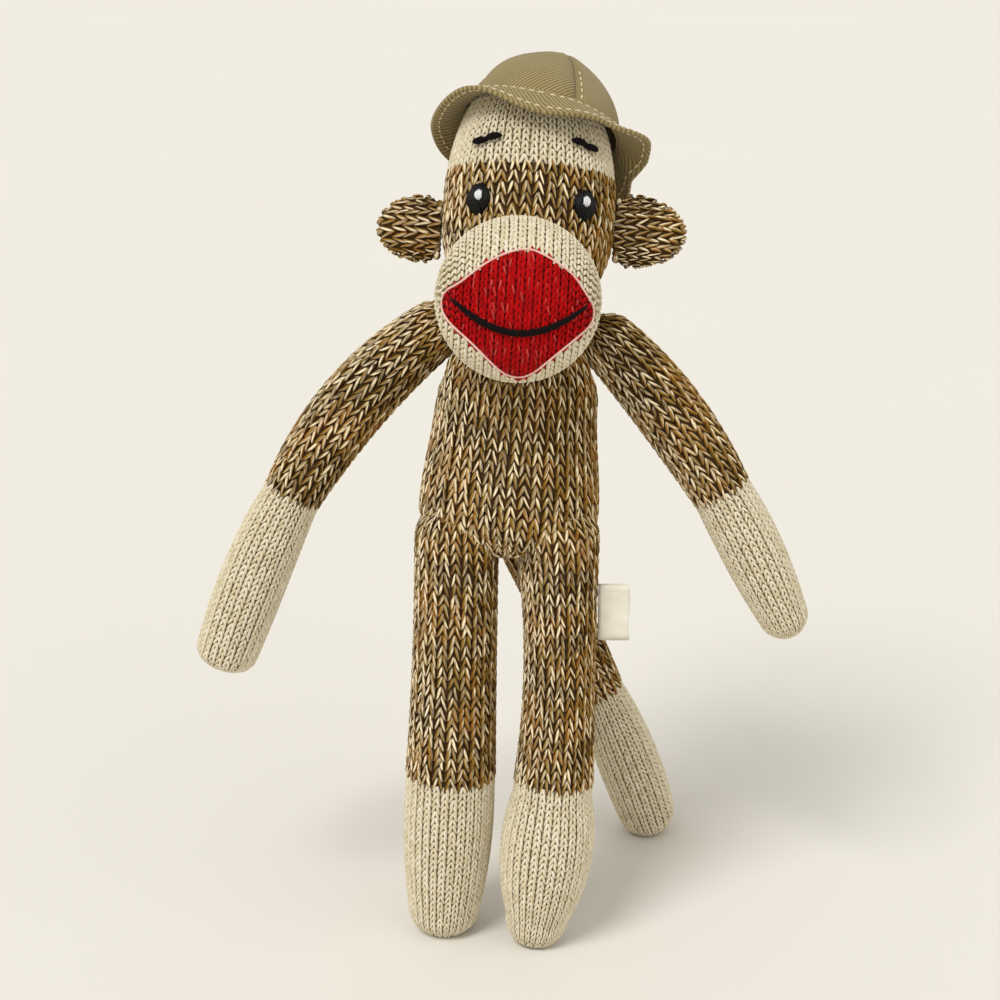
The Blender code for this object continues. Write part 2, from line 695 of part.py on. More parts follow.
# Spaces that the face gives to what is sewn on it
grown_profile = head_profile(-SEAT_GAP)
grown_profile.insert(0, (0.0, grown_profile[0][1]))
face_space = add_cutter(
    "face_space", turned_mesh("face_space", grown_profile, head_place, HEAD_DEPTH_SHARE)
)


def chest_space(name, turn, nod):
    """The torso as the muzzle meets it with the head turned and nodded."""
    profile = torso_profile(-JOINT_GAP)
    profile.append((0.0, profile[-1][1]))
    nodded = Matrix.Rotation(math.radians(-nod), 4, head_side)
    back = nodded @ Matrix.Rotation(math.radians(-turn), 4, head_axis)
    about = Matrix.Translation(head_pivot) @ back @ Matrix.Translation(-head_pivot)
    return add_cutter(name, turned_mesh(name, profile, about @ torso_place, TORSO_DEPTH_SHARE, 32))


chest_spaces = [
    chest_space(f"chest_space_{i}", turn, nod)
    for i, (turn, nod) in enumerate(
        ((0.0, 0.0), (0.0, HEAD_NOD_DOWN), (HEAD_TURN, HEAD_NOD_DOWN), (-HEAD_TURN, HEAD_NOD_DOWN))
    )
]

# Muzzle: cream pocket with a red window, its stuffing and the stitched mouth
muzzle_centre = Vector((MUZZLE_SIDE, -MUZZLE_FORWARD, MUZZLE_RISE))
muzzle_place = head_place @ Matrix.Translation(muzzle_centre)


def muzzle_ball(name, shrink, segments, open_back):
    """The muzzle's rounded form, its pole forward, open behind its middle if asked."""
    bm = bmesh.new()
    bmesh.ops.create_uvsphere(bm, u_segments=segments, v_segments=segments // 2, radius=1.0)
    bmesh.ops.rotate(bm, cent=(0, 0, 0), matrix=Matrix.Rotation(math.pi / 2, 3, "X"), verts=bm.verts)
    if open_back:
        behind = [v for v in bm.verts if v.co.y > 0.9]
        bmesh.ops.delete(bm, geom=behind, context="VERTS")
    across = MUZZLE_RADIUS - shrink
    bmesh.ops.scale(bm, vec=(across, MUZZLE_DEPTH_RADIUS - shrink, across), verts=bm.verts)
    return finish_mesh(bm, name, muzzle_place)


def lip_outline(grow):
    """Points of the lips' outline across and up the muzzle: a wide hexagon with each corner rounded."""
    right, low = LIP_CORNER_TOP_SHARES, LIP_CORNER_BOTTOM_SHARES
    top, bottom = (0, LIP_TOP_SHARE), (0, LIP_BOTTOM_SHARE)
    corners = [top, right, low, bottom, (-low[0], low[1]), (-right[0], right[1])]
    corners = [Vector(corner) * MUZZLE_RADIUS for corner in corners]
    corners = [corner + corner.normalized() * grow for corner in corners]
    points = []
    for before, corner, after in zip(corners[-1:] + corners[:-1], corners, corners[1:] + corners[:1]):
        start = corner.lerp(before, LIP_ROUNDING_SHARE)
        end = corner.lerp(after, LIP_ROUNDING_SHARE)
        for share in (0.0, 0.33, 0.67, 1.0):
            points.append(start.lerp(corner, share).lerp(corner.lerp(end, share), share))
    return points


def lip_space(name, grow):
    bm = bmesh.new()
    outline = [bm.verts.new((point.x, 0.0, point.y)) for point in lip_outline(grow)]
    face_made = bm.faces.new(outline)
    reach = MUZZLE_DEPTH_RADIUS * 2
    extruded = bmesh.ops.extrude_face_region(bm, geom=[face_made])["geom"]
    moved = [v for v in extruded if isinstance(v, bmesh.types.BMVert)]
    bmesh.ops.translate(bm, vec=(0, -reach, 0), verts=moved)
    return add_cutter(name, finish_mesh(bm, name, muzzle_place))


lip_room = lip_space("lip_room", SEAT_GAP)
lip_shape = lip_space("lip_shape", 0.0)
neck_reach = neck_ring_reach + NECK_TIE_RADIUS + JOINT_GAP
neck_room = ball_cutter("neck_room", head_pivot, neck_reach, 24)
muzzle = add_piece("muzzle_cover", muzzle_ball("muzzle_cover", 0.0, 24, True), CREAM_KNIT)
thicken(muzzle, MUZZLE_WALL)
cut(muzzle, face_space, neck_room, *chest_spaces, lip_room)
lips = add_piece("lips", muzzle_ball("lips", 0.0, 24, True), RED_KNIT)
thicken(lips, MUZZLE_WALL)
cut(lips, lip_shape, operation="INTERSECT")
cut(lips, face_space, *chest_spaces)
muzzle_fill = add_piece(
    "muzzle_stuffing", muzzle_ball("muzzle_stuffing", MUZZLE_WALL + STUFFING_GAP, 16, False), POLYESTER_FILL
)
cut(muzzle_fill, face_space, neck_room, *chest_spaces)


def muzzle_point(across, up, lift):
    """A place on the muzzle's front, from shares of its radius across and up, lifted off the surface."""
    forward = math.sqrt(max(0.0, 1 - across**2 - up**2))
    on_ball = Vector((across * MUZZLE_RADIUS, -forward * MUZZLE_DEPTH_RADIUS, up * MUZZLE_RADIUS))
    normal = Vector((across / MUZZLE_RADIUS, -forward / MUZZLE_DEPTH_RADIUS, up / MUZZLE_RADIUS))
    return muzzle_place @ (on_ball + normal.normalized() * lift)


def thread_mesh(name, points, radius, resolution=1):
    """A thread with closed ends through its points."""
    return tube_mesh(name, [(point, radius) for point in points], resolution, True)


mouth_points = []
MOUTH_STEPS = 14
for i in range(MOUTH_STEPS + 1):
    across = MOUTH_HALF_WIDTH_SHARE * (2 * i / MOUTH_STEPS - 1)
    dip = MOUTH_RISE_SHARE - MOUTH_DIP_SHARE * (1 - (across / MOUTH_HALF_WIDTH_SHARE) ** 2)
    mouth_points.append(muzzle_point(across, dip, MOUTH_THREAD_RADIUS + SEAT_GAP))
add_piece("mouth_thread", thread_mesh("mouth_thread", mouth_points, MOUTH_THREAD_RADIUS, 2), BLACK_THREAD)


def face_frame(rise, azimuth):
    """A place on the face with its Z axis standing off the surface and its Y axis up the head."""
    width = head_half_width(rise)
    angle = math.radians(azimuth)
    point = Vector((width * math.sin(angle), -width * HEAD_DEPTH_SHARE * math.cos(angle), rise))
    slope = max(0.0, rise - HEAD_BROW_RISE) / (HEAD_HEIGHT - HEAD_BROW_RISE) ** 2
    normal = Vector(
        (point.x / HEAD_HALF_WIDTH**2, point.y / (HEAD_HALF_WIDTH * HEAD_DEPTH_SHARE) ** 2, slope)
    ).normalized()
    across = UP.cross(normal).normalized()
    frame = Matrix((across, normal.cross(across), normal)).transposed().to_4x4()
    return head_place @ Matrix.Translation(point) @ frame


def pad_mesh(name, place, half_width, half_height, half_thickness, segments=14):
    bm = bmesh.new()
    bmesh.ops.create_uvsphere(bm, u_segments=segments, v_segments=8, radius=1.0)
    bmesh.ops.scale(bm, vec=(half_width, half_height, half_thickness), verts=bm.verts)
    return finish_mesh(bm, name, place)


# Eyes with a white catch-light stitched on each, and brows of one thread each
GLINT_UP = 0.0008
for side, word, azimuth in zip((RIGHT, LEFT), ("right", "left"), EYE_AZIMUTHS):
    eye_place = face_frame(EYE_RISE, side * azimuth)
    eye_size = (EYE_HALF_WIDTH, EYE_HALF_HEIGHT, EYE_HALF_THICKNESS)
    eye = add_piece(f"{word}_eye", pad_mesh(f"{word}_eye", eye_place, *eye_size), BLACK_THREAD)
    cut(eye, face_space)
    room = [size + SEAT_GAP for size in eye_size]
    eye_room = add_cutter(f"{word}_eye_room", pad_mesh(f"{word}_eye_room", eye_place, *room))
    glint_place = eye_place @ Matrix.Translation((0, GLINT_UP, EYE_HALF_THICKNESS))
    glint_size = (GLINT_RADIUS, GLINT_RADIUS, GLINT_HALF_THICKNESS)
    glint_mesh = pad_mesh(f"{word}_eye_glint", glint_place, *glint_size, 10)
    glint = add_piece(f"{word}_eye_glint", glint_mesh, WHITE_THREAD)
    cut(glint, eye_room)
    brow_frame = face_frame(BROW_RISE, side * BROW_AZIMUTH)
    stitch = []
    for across, up in ((-1.0, -0.34), (-0.5, -0.06), (0.0, 0.0), (0.5, 0.14), (1.0, 0.34)):
        flat = Vector((-side * across * BROW_HALF_LENGTH, up * BROW_HALF_LENGTH, 0))
        sag = flat.x**2 / (2 * HEAD_HALF_WIDTH)
        stitch.append(brow_frame @ (flat + Vector((0, 0, BROW_THREAD_RADIUS + SEAT_GAP - sag))))
    add_piece(f"{word}_brow", thread_mesh(f"{word}_brow", stitch, BROW_THREAD_RADIUS), BLACK_THREAD)

# Ears: flat sewn pouches that fold about their root
ear_hinges = {}
for side, word, rise, ear_reach, ear_half_height in zip(
    (RIGHT, LEFT), ("right", "left"), EAR_RISES, EAR_REACHES, EAR_HALF_HEIGHTS
):
    hinge = Vector((side * (HEAD_HALF_WIDTH + EAR_HINGE_GAP), 0, rise))
    ear_hinges[side] = head_place @ hinge
    bm = bmesh.new()
    bmesh.ops.create_uvsphere(bm, u_segments=20, v_segments=8, radius=1.0)
    bmesh.ops.rotate(bm, cent=(0, 0, 0), matrix=Matrix.Rotation(math.pi / 2, 3, "X"), verts=bm.verts)
    for vert in bm.verts:
        if vert.co.x * side < 0:
            square = max(abs(vert.co.x), abs(vert.co.z)) or 1.0
            grow = 1 + EAR_SQUARENESS * (math.hypot(vert.co.x, vert.co.z) / square - 1)
            vert.co.x *= grow * EAR_ROOT_DEPTH / ear_reach
            vert.co.z *= grow
    bmesh.ops.scale(bm, vec=(ear_reach, EAR_HALF_THICKNESS, ear_half_height), verts=bm.verts)
    middle = hinge + Vector((side * (EAR_ROOT_DEPTH - EAR_HINGE_GAP + SEAT_GAP), 0, 0))
    ear_place = head_place @ Matrix.Translation(middle)
    add_piece(f"{word}_ear", finish_mesh(bm, f"{word}_ear", ear_place), MARL_KNIT)

# Hat
hat_place = (
    head_place
    @ Matrix.Translation((HAT_SIDE, HAT_BACK, HEAD_HEIGHT - HAT_BELOW_HEAD_TOP))
    @ Matrix.Rotation(math.radians(HAT_TILT_LEFT), 4, "Y")
    @ Matrix.Rotation(math.radians(-HAT_TILT_BACK), 4, "X")
)
hat_axis = hat_place.to_3x3() @ UP


def hat_crown_profile():
    """Half-widths and heights of the hat's crown, from its base seam to its top button point."""
    base = (HAT_HALF_WIDTH, 0.0)
    return [base, *quarter(base, (0.0, HAT_CROWN_HEIGHT), 7, False, HAT_CROWN_FULLNESS)]


GORE_SPACE = 0.06
for i, word in enumerate(("front_left", "back_left", "back_right", "front_right")):
    name = f"hat_gore_{word}"
    gore = add_piece(name, turned_mesh(name, hat_crown_profile(), hat_place, HAT_DEPTH_SHARE), KHAKI_TWILL)
    thicken(gore, HAT_CLOTH)
    corner = (GORE_SPACE + SEAT_GAP) / 2
    quadrant = Matrix.Rotation(math.radians(HAT_SEAM_AZIMUTH - 90.0 + 90.0 * i), 4, "Z")
    gore_space = box_cutter(
        name + "_space",
        hat_place @ quadrant @ Matrix.Translation((corner, corner, 0)),
        (GORE_SPACE, GORE_SPACE, GORE_SPACE * 2),
    )
    cut(gore, gore_space, operation="INTERSECT")

# Brim: a wavy ring whose edge follows the given reaches and drops
def brim_edge(azimuth):
    """Reach and drop of the brim's edge at an azimuth, eased between the given ones."""
    rows = [*BRIM_EDGE, (BRIM_EDGE[0][0] + 360, *BRIM_EDGE[0][1:])]
    for low, high in zip(rows, rows[1:]):
        if low[0] <= azimuth <= high[0]:
            share = (azimuth - low[0]) / (high[0] - low[0])
            ease = share * share * (3 - 2 * share)
            return [a + (b - a) * ease for a, b in zip(low[1:], high[1:])]


BRIM_STEPS = 36
BRIM_RINGS = (0.0, 0.35, 0.7, 1.0)
BRIM_CURL = 1.2
bm = bmesh.new()
bmesh.ops.create_grid(bm, x_segments=BRIM_STEPS, y_segments=len(BRIM_RINGS) - 1, size=1.0)
for vert in bm.verts:
    turn = round((vert.co.x + 1) / 2 * BRIM_STEPS) * 360.0 / BRIM_STEPS
    out = BRIM_RINGS[round((vert.co.y + 1) / 2 * (len(BRIM_RINGS) - 1))]
    reach, drop = brim_edge(turn)
    radius = HAT_HALF_WIDTH + reach * out
    angle = math.radians(turn)
    height = -SEAT_GAP - drop * out**BRIM_CURL
    vert.co = (radius * math.sin(angle), -radius * HAT_DEPTH_SHARE * math.cos(angle), height)
brim = add_piece("hat_brim", finish_mesh(bm, "hat_brim", hat_place), KHAKI_TWILL)
thicken(brim, HAT_CLOTH)

# Label: a folded ribbon whose ends are caught in the left leg's outer seam
label_at = hips[LEFT].lerp(knees[LEFT], LABEL_DROP / (knees[LEFT] - hips[LEFT]).length)
label_root = label_at + Vector((LEG_ROOT_RADIUS + SEAT_GAP, 0, 0))
bm = bmesh.new()
half = LABEL_LAYER_GAP / 2
fold = [
    (0.0, half),
    (LABEL_REACH * 0.5, half * 1.3),
    (LABEL_REACH - half, half * 1.2),
    (LABEL_REACH, 0.0),
    (LABEL_REACH - half, -half * 1.2),
    (LABEL_REACH * 0.5, -half * 1.3),
    (0.0, -half),
]
rail = [bm.verts.new((x, y, -LABEL_HEIGHT / 2)) for x, y in fold]
edges = [bm.edges.new(pair) for pair in zip(rail, rail[1:])]
raised = bmesh.ops.extrude_edge_only(bm, edges=edges)["geom"]
bmesh.ops.translate(
    bm, vec=(0, 0, LABEL_HEIGHT), verts=[v for v in raised if isinstance(v, bmesh.types.BMVert)]
)
label = add_piece("label", finish_mesh(bm, "label", Matrix.Translation(label_root)), WHITE_SATIN)
thicken(label, LABEL_CLOTH)
label.modifiers["wall"].offset = 1

# Each piece's own origin lies on its joint, and the whole doll is centred on the floor
origins = {word: head_pivot for word in ("head", "muzzle", "lips", "mouth", "hat")}
for side, word in ((RIGHT, "right"), (LEFT, "left")):
    origins |= {f"{word}_eye": head_pivot, f"{word}_brow": head_pivot, f"{word}_ear": ear_hinges[side]}
    origins |= {f"{word}_arm": shoulders[side], f"{word}_hand": elbows[side]}
    origins |= {f"{word}_leg": hips[side], f"{word}_foot": knees[side]}
origins |= {"tail": tail_root, "tail_tip": tail_bend, "neck": head_pivot, "label": label_root}

graph = bpy.context.evaluated_depsgraph_get()
corners = [Vector(corner) for piece in doll.objects for corner in piece.evaluated_get(graph).bound_box]
low, high = ([pick(corner[axis] for corner in corners) for axis in range(3)] for pick in (min, max))
centring = -Vector(((low[0] + high[0]) / 2, (low[1] + high[1]) / 2, low[2]))
for piece in [*doll.objects, *cutters.objects]:
    own = max((word for word in origins if piece.name.startswith(word)), key=len, default=None)
    origin = origins.get(own, hip_middle)
    piece.data.transform(Matrix.Translation(-origin))
    piece.location = origin + centring
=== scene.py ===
"""Looks of the knitted sock monkey doll: every visible stitch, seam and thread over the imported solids."""

import json
import math
from types import SimpleNamespace

import bmesh
import bpy
import numpy as np
from mathutils import Matrix, Vector


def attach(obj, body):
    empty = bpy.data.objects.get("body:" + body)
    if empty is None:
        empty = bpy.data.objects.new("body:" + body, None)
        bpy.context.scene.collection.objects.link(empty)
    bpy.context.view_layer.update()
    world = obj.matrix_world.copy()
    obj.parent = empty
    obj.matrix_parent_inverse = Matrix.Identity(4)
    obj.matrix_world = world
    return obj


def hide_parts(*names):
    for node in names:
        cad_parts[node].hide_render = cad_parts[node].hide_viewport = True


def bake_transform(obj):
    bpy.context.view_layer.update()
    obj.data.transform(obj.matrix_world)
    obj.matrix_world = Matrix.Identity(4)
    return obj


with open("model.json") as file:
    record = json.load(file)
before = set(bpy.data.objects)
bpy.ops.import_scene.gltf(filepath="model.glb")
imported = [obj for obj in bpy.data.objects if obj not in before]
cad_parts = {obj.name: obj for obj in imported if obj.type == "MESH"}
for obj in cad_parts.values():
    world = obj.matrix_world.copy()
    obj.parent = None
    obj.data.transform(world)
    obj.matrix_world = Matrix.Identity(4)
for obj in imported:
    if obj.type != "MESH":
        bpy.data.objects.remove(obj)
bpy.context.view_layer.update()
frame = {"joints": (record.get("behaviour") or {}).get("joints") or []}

# Studio: a plain pale floor under an even sky, and one soft lamp from the front left.
# The camera looks a little down on the doll, as the photograph does.
for startup in ("Cube", "Light", "Camera"):
    if startup in bpy.data.objects:
        bpy.data.objects.remove(bpy.data.objects[startup])
scene = bpy.context.scene
scene.view_settings.view_transform = "Standard"


def linear(colour):
    """Linear red, green and blue of an sRGB hex colour."""
    parts = [int(colour[i : i + 2], 16) / 255 for i in (1, 3, 5)]
    return [c / 12.92 if c <= 0.04045 else ((c + 0.055) / 1.055) ** 2.4 for c in parts]


def add_node(tree, kind, inputs=None, **settings):
    """Adds a shader node with its settings. An input takes a value, or another node's socket as a link."""
    node = tree.nodes.new("ShaderNode" + kind)
    for name, value in settings.items():
        setattr(node, name, value)
    for name, value in (inputs or {}).items():
        if isinstance(value, bpy.types.NodeSocket):
            tree.links.new(value, node.inputs[name])
        else:
            node.inputs[name].default_value = value
    return node


def new_material(name):
    """A new material: its node tree and its main shader."""
    made = bpy.data.materials.new(name)
    made.use_nodes = True
    return made, made.node_tree, made.node_tree.nodes["Principled BSDF"]


# Matt painted board, pale and warm, with a faint unevenness so that it doesn't look like a screen.
FLOOR_COLOUR = "#e8e4dc"
floor_finish, tree, shader = new_material("pale matt board")
coords = add_node(tree, "TexCoord")
mottle = add_node(tree, "TexNoise", {"Vector": coords.outputs["Object"], "Scale": 1.5, "Detail": 2.0})
shade = add_node(
    tree,
    "Mix",
    {0: mottle.outputs["Fac"], 6: (*linear("#e5e1d8"), 1), 7: (*linear(FLOOR_COLOUR), 1)},
    data_type="RGBA",
)
tree.links.new(shade.outputs[2], shader.inputs["Base Color"])
shader.inputs["Roughness"].default_value = 0.9
shader.inputs["Specular IOR Level"].default_value = 0.2

FLOOR_HALF_SIZE = 9.0
bm = bmesh.new()
bmesh.ops.create_grid(bm, x_segments=1, y_segments=1, size=FLOOR_HALF_SIZE)
floor_mesh = bpy.data.meshes.new("studio_floor")
bm.to_mesh(floor_mesh)
bm.free()
floor_mesh.materials.append(floor_finish)
floor = bpy.data.objects.new("studio_floor", floor_mesh)
scene.collection.objects.link(floor)

SKY_STRENGTH = 0.62
world = bpy.data.worlds.new("studio sky")
world.use_nodes = True
scene.world = world
tree = world.node_tree
tree.nodes.clear()
path = add_node(tree, "LightPath")
seen = add_node(
    tree,
    "Math",
    {0: path.outputs["Is Camera Ray"], 1: path.outputs["Is Glossy Ray"]},
    operation="MAXIMUM",
)
seen = add_node(
    tree, "Math", {0: seen.outputs[0], 1: path.outputs["Is Transmission Ray"]}, operation="MAXIMUM"
)
lit = add_node(tree, "Background", {"Color": (*linear("#fffdf8"), 1), "Strength": SKY_STRENGTH})
shown = add_node(tree, "Background", {"Color": (*linear(FLOOR_COLOUR), 1), "Strength": 1.0})
both = add_node(tree, "MixShader", {0: seen.outputs[0], 1: lit.outputs[0], 2: shown.outputs[0]})
add_node(tree, "OutputWorld", {"Surface": both.outputs[0]})

for name, strength, softness, height, around in (
    ("key", 1.75, 24.0, 52.0, -38.0),
    ("fill", 0.35, 60.0, 30.0, 55.0),
):
    lamp = bpy.data.lights.new(name, "SUN")
    lamp.energy = strength
    lamp.angle = math.radians(softness)
    holder = bpy.data.objects.new(name, lamp)
    holder.rotation_euler = (math.radians(90 - height), 0, math.radians(around))
    scene.collection.objects.link(holder)

# The doll's own zero, from which the toe and tail ends below are measured
JOINT_AT = {j["name"]: Vector(j["pos_m"]) for j in frame["joints"] if "pos_m" in j}
HIP_SPACING = 0.034
HIP_FORWARD = 0.006
HIP_HEIGHT = 0.1472
BODY_OFFSET = 0.0024
BODY_FORWARD = 0.0085
hip_middle = (JOINT_AT["right_leg_swing"] + JOINT_AT["left_leg_swing"]) / 2 + Vector((0, HIP_FORWARD, 0))
doll_zero = hip_middle - Vector((BODY_OFFSET, -BODY_FORWARD, HIP_HEIGHT))

CAMERA_DISTANCE = 0.700
CAMERA_DOWN = math.radians(18.0)
CAMERA_AIM = doll_zero + Vector((0, 0, 0.156))
lens = bpy.data.cameras.new("camera")
lens.lens = 73.48
lens.sensor_width = 36.0
camera = bpy.data.objects.new("camera", lens)
camera.location = CAMERA_AIM + CAMERA_DISTANCE * Vector((0, -math.cos(CAMERA_DOWN), math.sin(CAMERA_DOWN)))
camera.rotation_euler = (math.pi / 2 - CAMERA_DOWN, 0, 0)
scene.collection.objects.link(camera)
scene.camera = camera

# Torso: a stuffed tube of thick brown marl sock, knitted in plain V stitches that point down.
# Each V is two plump legs of a yarn spun from dark brown, rust and cream plies.
UP = Vector((0, 0, 1))
RIGHT, LEFT = -1, 1


def fibre_coords(tree, around_scale, along_scale):
    """The yarn's own coordinates, stretched so that noise on them looks like fibres along it."""
    place = add_node(tree, "UVMap", uv_map="yarn")
    split = add_node(tree, "SeparateXYZ", {"Vector": place.outputs["UV"]})
    tone = add_node(tree, "Attribute", attribute_name="tone")
    across = add_node(tree, "Math", {0: split.outputs["X"], 1: around_scale}, operation="MULTIPLY")
    along = add_node(tree, "Math", {0: split.outputs["Y"], 1: along_scale}, operation="MULTIPLY")
    own = add_node(tree, "Math", {0: tone.outputs["Fac"], 1: 60.0}, operation="MULTIPLY")
    joined = add_node(
        tree, "CombineXYZ", {"X": across.outputs[0], "Y": along.outputs[0], "Z": own.outputs[0]}
    )
    return split, tone, joined


def random_share(tree, tone, spread):
    """Another random number from 0 to 1 for each stitch."""
    scaled = add_node(tree, "Math", {0: tone.outputs["Fac"], 1: spread}, operation="MULTIPLY")
    return add_node(tree, "Math", {0: scaled.outputs[0]}, operation="FRACT")


def ply_band(tree, split, tone, offset, half_width, blur):
    """1 along one ply that winds a little round the yarn, 0 off it. Offset 0 faces outward."""
    wound = add_node(
        tree, "Math", {0: split.outputs["Y"], 1: 0.24, 2: split.outputs["X"]}, operation="MULTIPLY_ADD"
    )
    own = random_share(tree, tone, 13.7)
    turned = add_node(
        tree, "Math", {0: own.outputs[0], 1: 0.26, 2: wound.outputs[0]}, operation="MULTIPLY_ADD"
    )
    moved = add_node(tree, "Math", {0: turned.outputs[0], 1: offset + 0.25}, operation="ADD")
    share = add_node(tree, "Math", {0: moved.outputs[0]}, operation="FRACT")
    off = add_node(tree, "Math", {0: share.outputs[0], 1: 0.5}, operation="SUBTRACT")
    size = add_node(tree, "Math", {0: off.outputs[0]}, operation="ABSOLUTE")
    return add_node(
        tree,
        "MapRange",
        {"Value": size.outputs[0], "From Min": half_width + blur, "From Max": half_width - blur},
        interpolation_type="SMOOTHSTEP",
    )


def blend_colour(tree, share, first, second):
    """Mixes two colours, each a socket or a hex colour."""
    ends = [(*linear(c), 1) if isinstance(c, str) else c for c in (first, second)]
    return add_node(tree, "Mix", {0: share, 6: ends[0], 7: ends[1]}, data_type="RGBA").outputs[2]


def finish_yarn(tree, shader, colour, fibre, bump_height, softness):
    """The matt, slightly hairy finish that all the doll's yarns share."""
    bump = add_node(tree, "Bump", {"Height": fibre, "Distance": bump_height, "Strength": 0.55})
    tree.links.new(colour, shader.inputs["Base Color"])
    tree.links.new(bump.outputs["Normal"], shader.inputs["Normal"])
    shader.inputs["Roughness"].default_value = 0.92
    shader.inputs["Specular IOR Level"].default_value = 0.1
    shader.inputs["Sheen Weight"].default_value = softness
    shader.inputs["Sheen Roughness"].default_value = 0.45


# Marl wool blend: dark brown plies with one cream ply that shows and hides as the yarn turns, and
# rust or olive patches a few stitches across, so that no two V's look alike.
marl_yarn, tree, shader = new_material("brown marl wool yarn")
split, tone, fibre_place = fibre_coords(tree, 11.0, 2.2)
fibre = add_node(tree, "TexNoise", {"Vector": fibre_place.outputs[0], "Scale": 1.0, "Detail": 3.0})
coords = add_node(tree, "TexCoord")
patch = add_node(tree, "TexNoise", {"Vector": coords.outputs["Object"], "Scale": 75.0, "Detail": 2.5})
patch_colour = add_node(tree, "ValToRGB", {"Fac": patch.outputs["Fac"]})
ramp = patch_colour.color_ramp
ramp.elements[0].position, ramp.elements[0].color = 0.36, (*linear("#442d10"), 1)
ramp.elements[1].position, ramp.elements[1].color = 0.66, (*linear("#7c5c22"), 1)
for position, colour in ((0.46, "#5b3f15"), (0.53, "#71521d"), (0.585, "#84531b")):
    ramp.elements.new(position).color = (*linear(colour), 1)
strong = random_share(tree, tone, 37.3)
cream_share = add_node(
    tree, "MapRange",
    {"Value": strong.outputs[0], "From Min": 0.05, "From Max": 0.55, "To Min": 0.3, "To Max": 1.0},
)
cream_band = ply_band(tree, split, tone, 0.0, 0.10, 0.05)
worn = add_node(
    tree, "MapRange", {"Value": fibre.outputs["Fac"], "From Min": 0.36, "From Max": 0.5}
)
cream = add_node(tree, "Math", {0: cream_band.outputs[0], 1: cream_share.outputs[0]}, operation="MULTIPLY")
cream = add_node(tree, "Math", {0: cream.outputs[0], 1: worn.outputs[0]}, operation="MULTIPLY")
from_middle = add_node(tree, "Math", {0: split.outputs["Y"], 1: 0.5}, operation="SUBTRACT")
from_middle = add_node(tree, "Math", {0: from_middle.outputs[0]}, operation="ABSOLUTE")
bare_ends = add_node(
    tree, "MapRange", {"Value": from_middle.outputs[0], "From Min": 0.42, "From Max": 0.24}
)
cream = add_node(tree, "Math", {0: cream.outputs[0], 1: bare_ends.outputs[0]}, operation="MULTIPLY")
tan_band = ply_band(tree, split, tone, 0.17, 0.05, 0.04)
tan = add_node(tree, "Math", {0: tan_band.outputs[0], 1: 0.7}, operation="MULTIPLY")
colour = blend_colour(tree, tan.outputs[0], patch_colour.outputs["Color"], "#b08a3e")
dark_fibres = add_node(
    tree, "MapRange", {"Value": fibre.outputs["Fac"], "From Min": 0.62, "From Max": 0.75, "To Max": 0.6}
)
colour = blend_colour(tree, dark_fibres.outputs[0], colour, "#2c1c0b")
colour = blend_colour(tree, cream.outputs[0], colour, "#fbeac4")
finish_yarn(tree, shader, colour, fibre.outputs["Fac"], 0.0003, 0.04)


def shaded_knit_back(name, grain_scale, dark, light):
    """The loops behind the stitches, fully matt, in a darker copy of the yarn's colour: painted shade, seen
    only as dark gaps between them.
    """
    material, tree, shader = new_material(name)
    coords = add_node(tree, "TexCoord")
    grain = add_node(
        tree, "TexNoise", {"Vector": coords.outputs["Object"], "Scale": grain_scale, "Detail": 2.0}
    )
    colour = blend_colour(tree, grain.outputs["Fac"], dark, light)
    tree.links.new(colour, shader.inputs["Base Color"])
    shader.inputs["Roughness"].default_value = 1.0
    return material


# The brown knit's backing: painted shade, a darker brown for the gaps between stitches.
marl_shadow = shaded_knit_back("marl knit back in painted shade", 700.0, "#2c1c0a", "#634619")


def eased_quarter(start, end, bulge_first, fullness=1.0, steps=24):
    """Points of a quarter ellipse from start to end, leaving out the first."""
    angle = np.pi / 2 * np.arange(1, steps + 1) / steps
    sine, cosine = np.sin(angle) ** (1 / fullness), np.cos(angle).clip(0) ** (1 / fullness)
    across, along = (sine, 1 - cosine) if bulge_first else (1 - cosine, sine)
    return [
        (start[0] + (end[0] - start[0]) * a, start[1] + (end[1] - start[1]) * b)
        for a, b in zip(across, along)
    ]


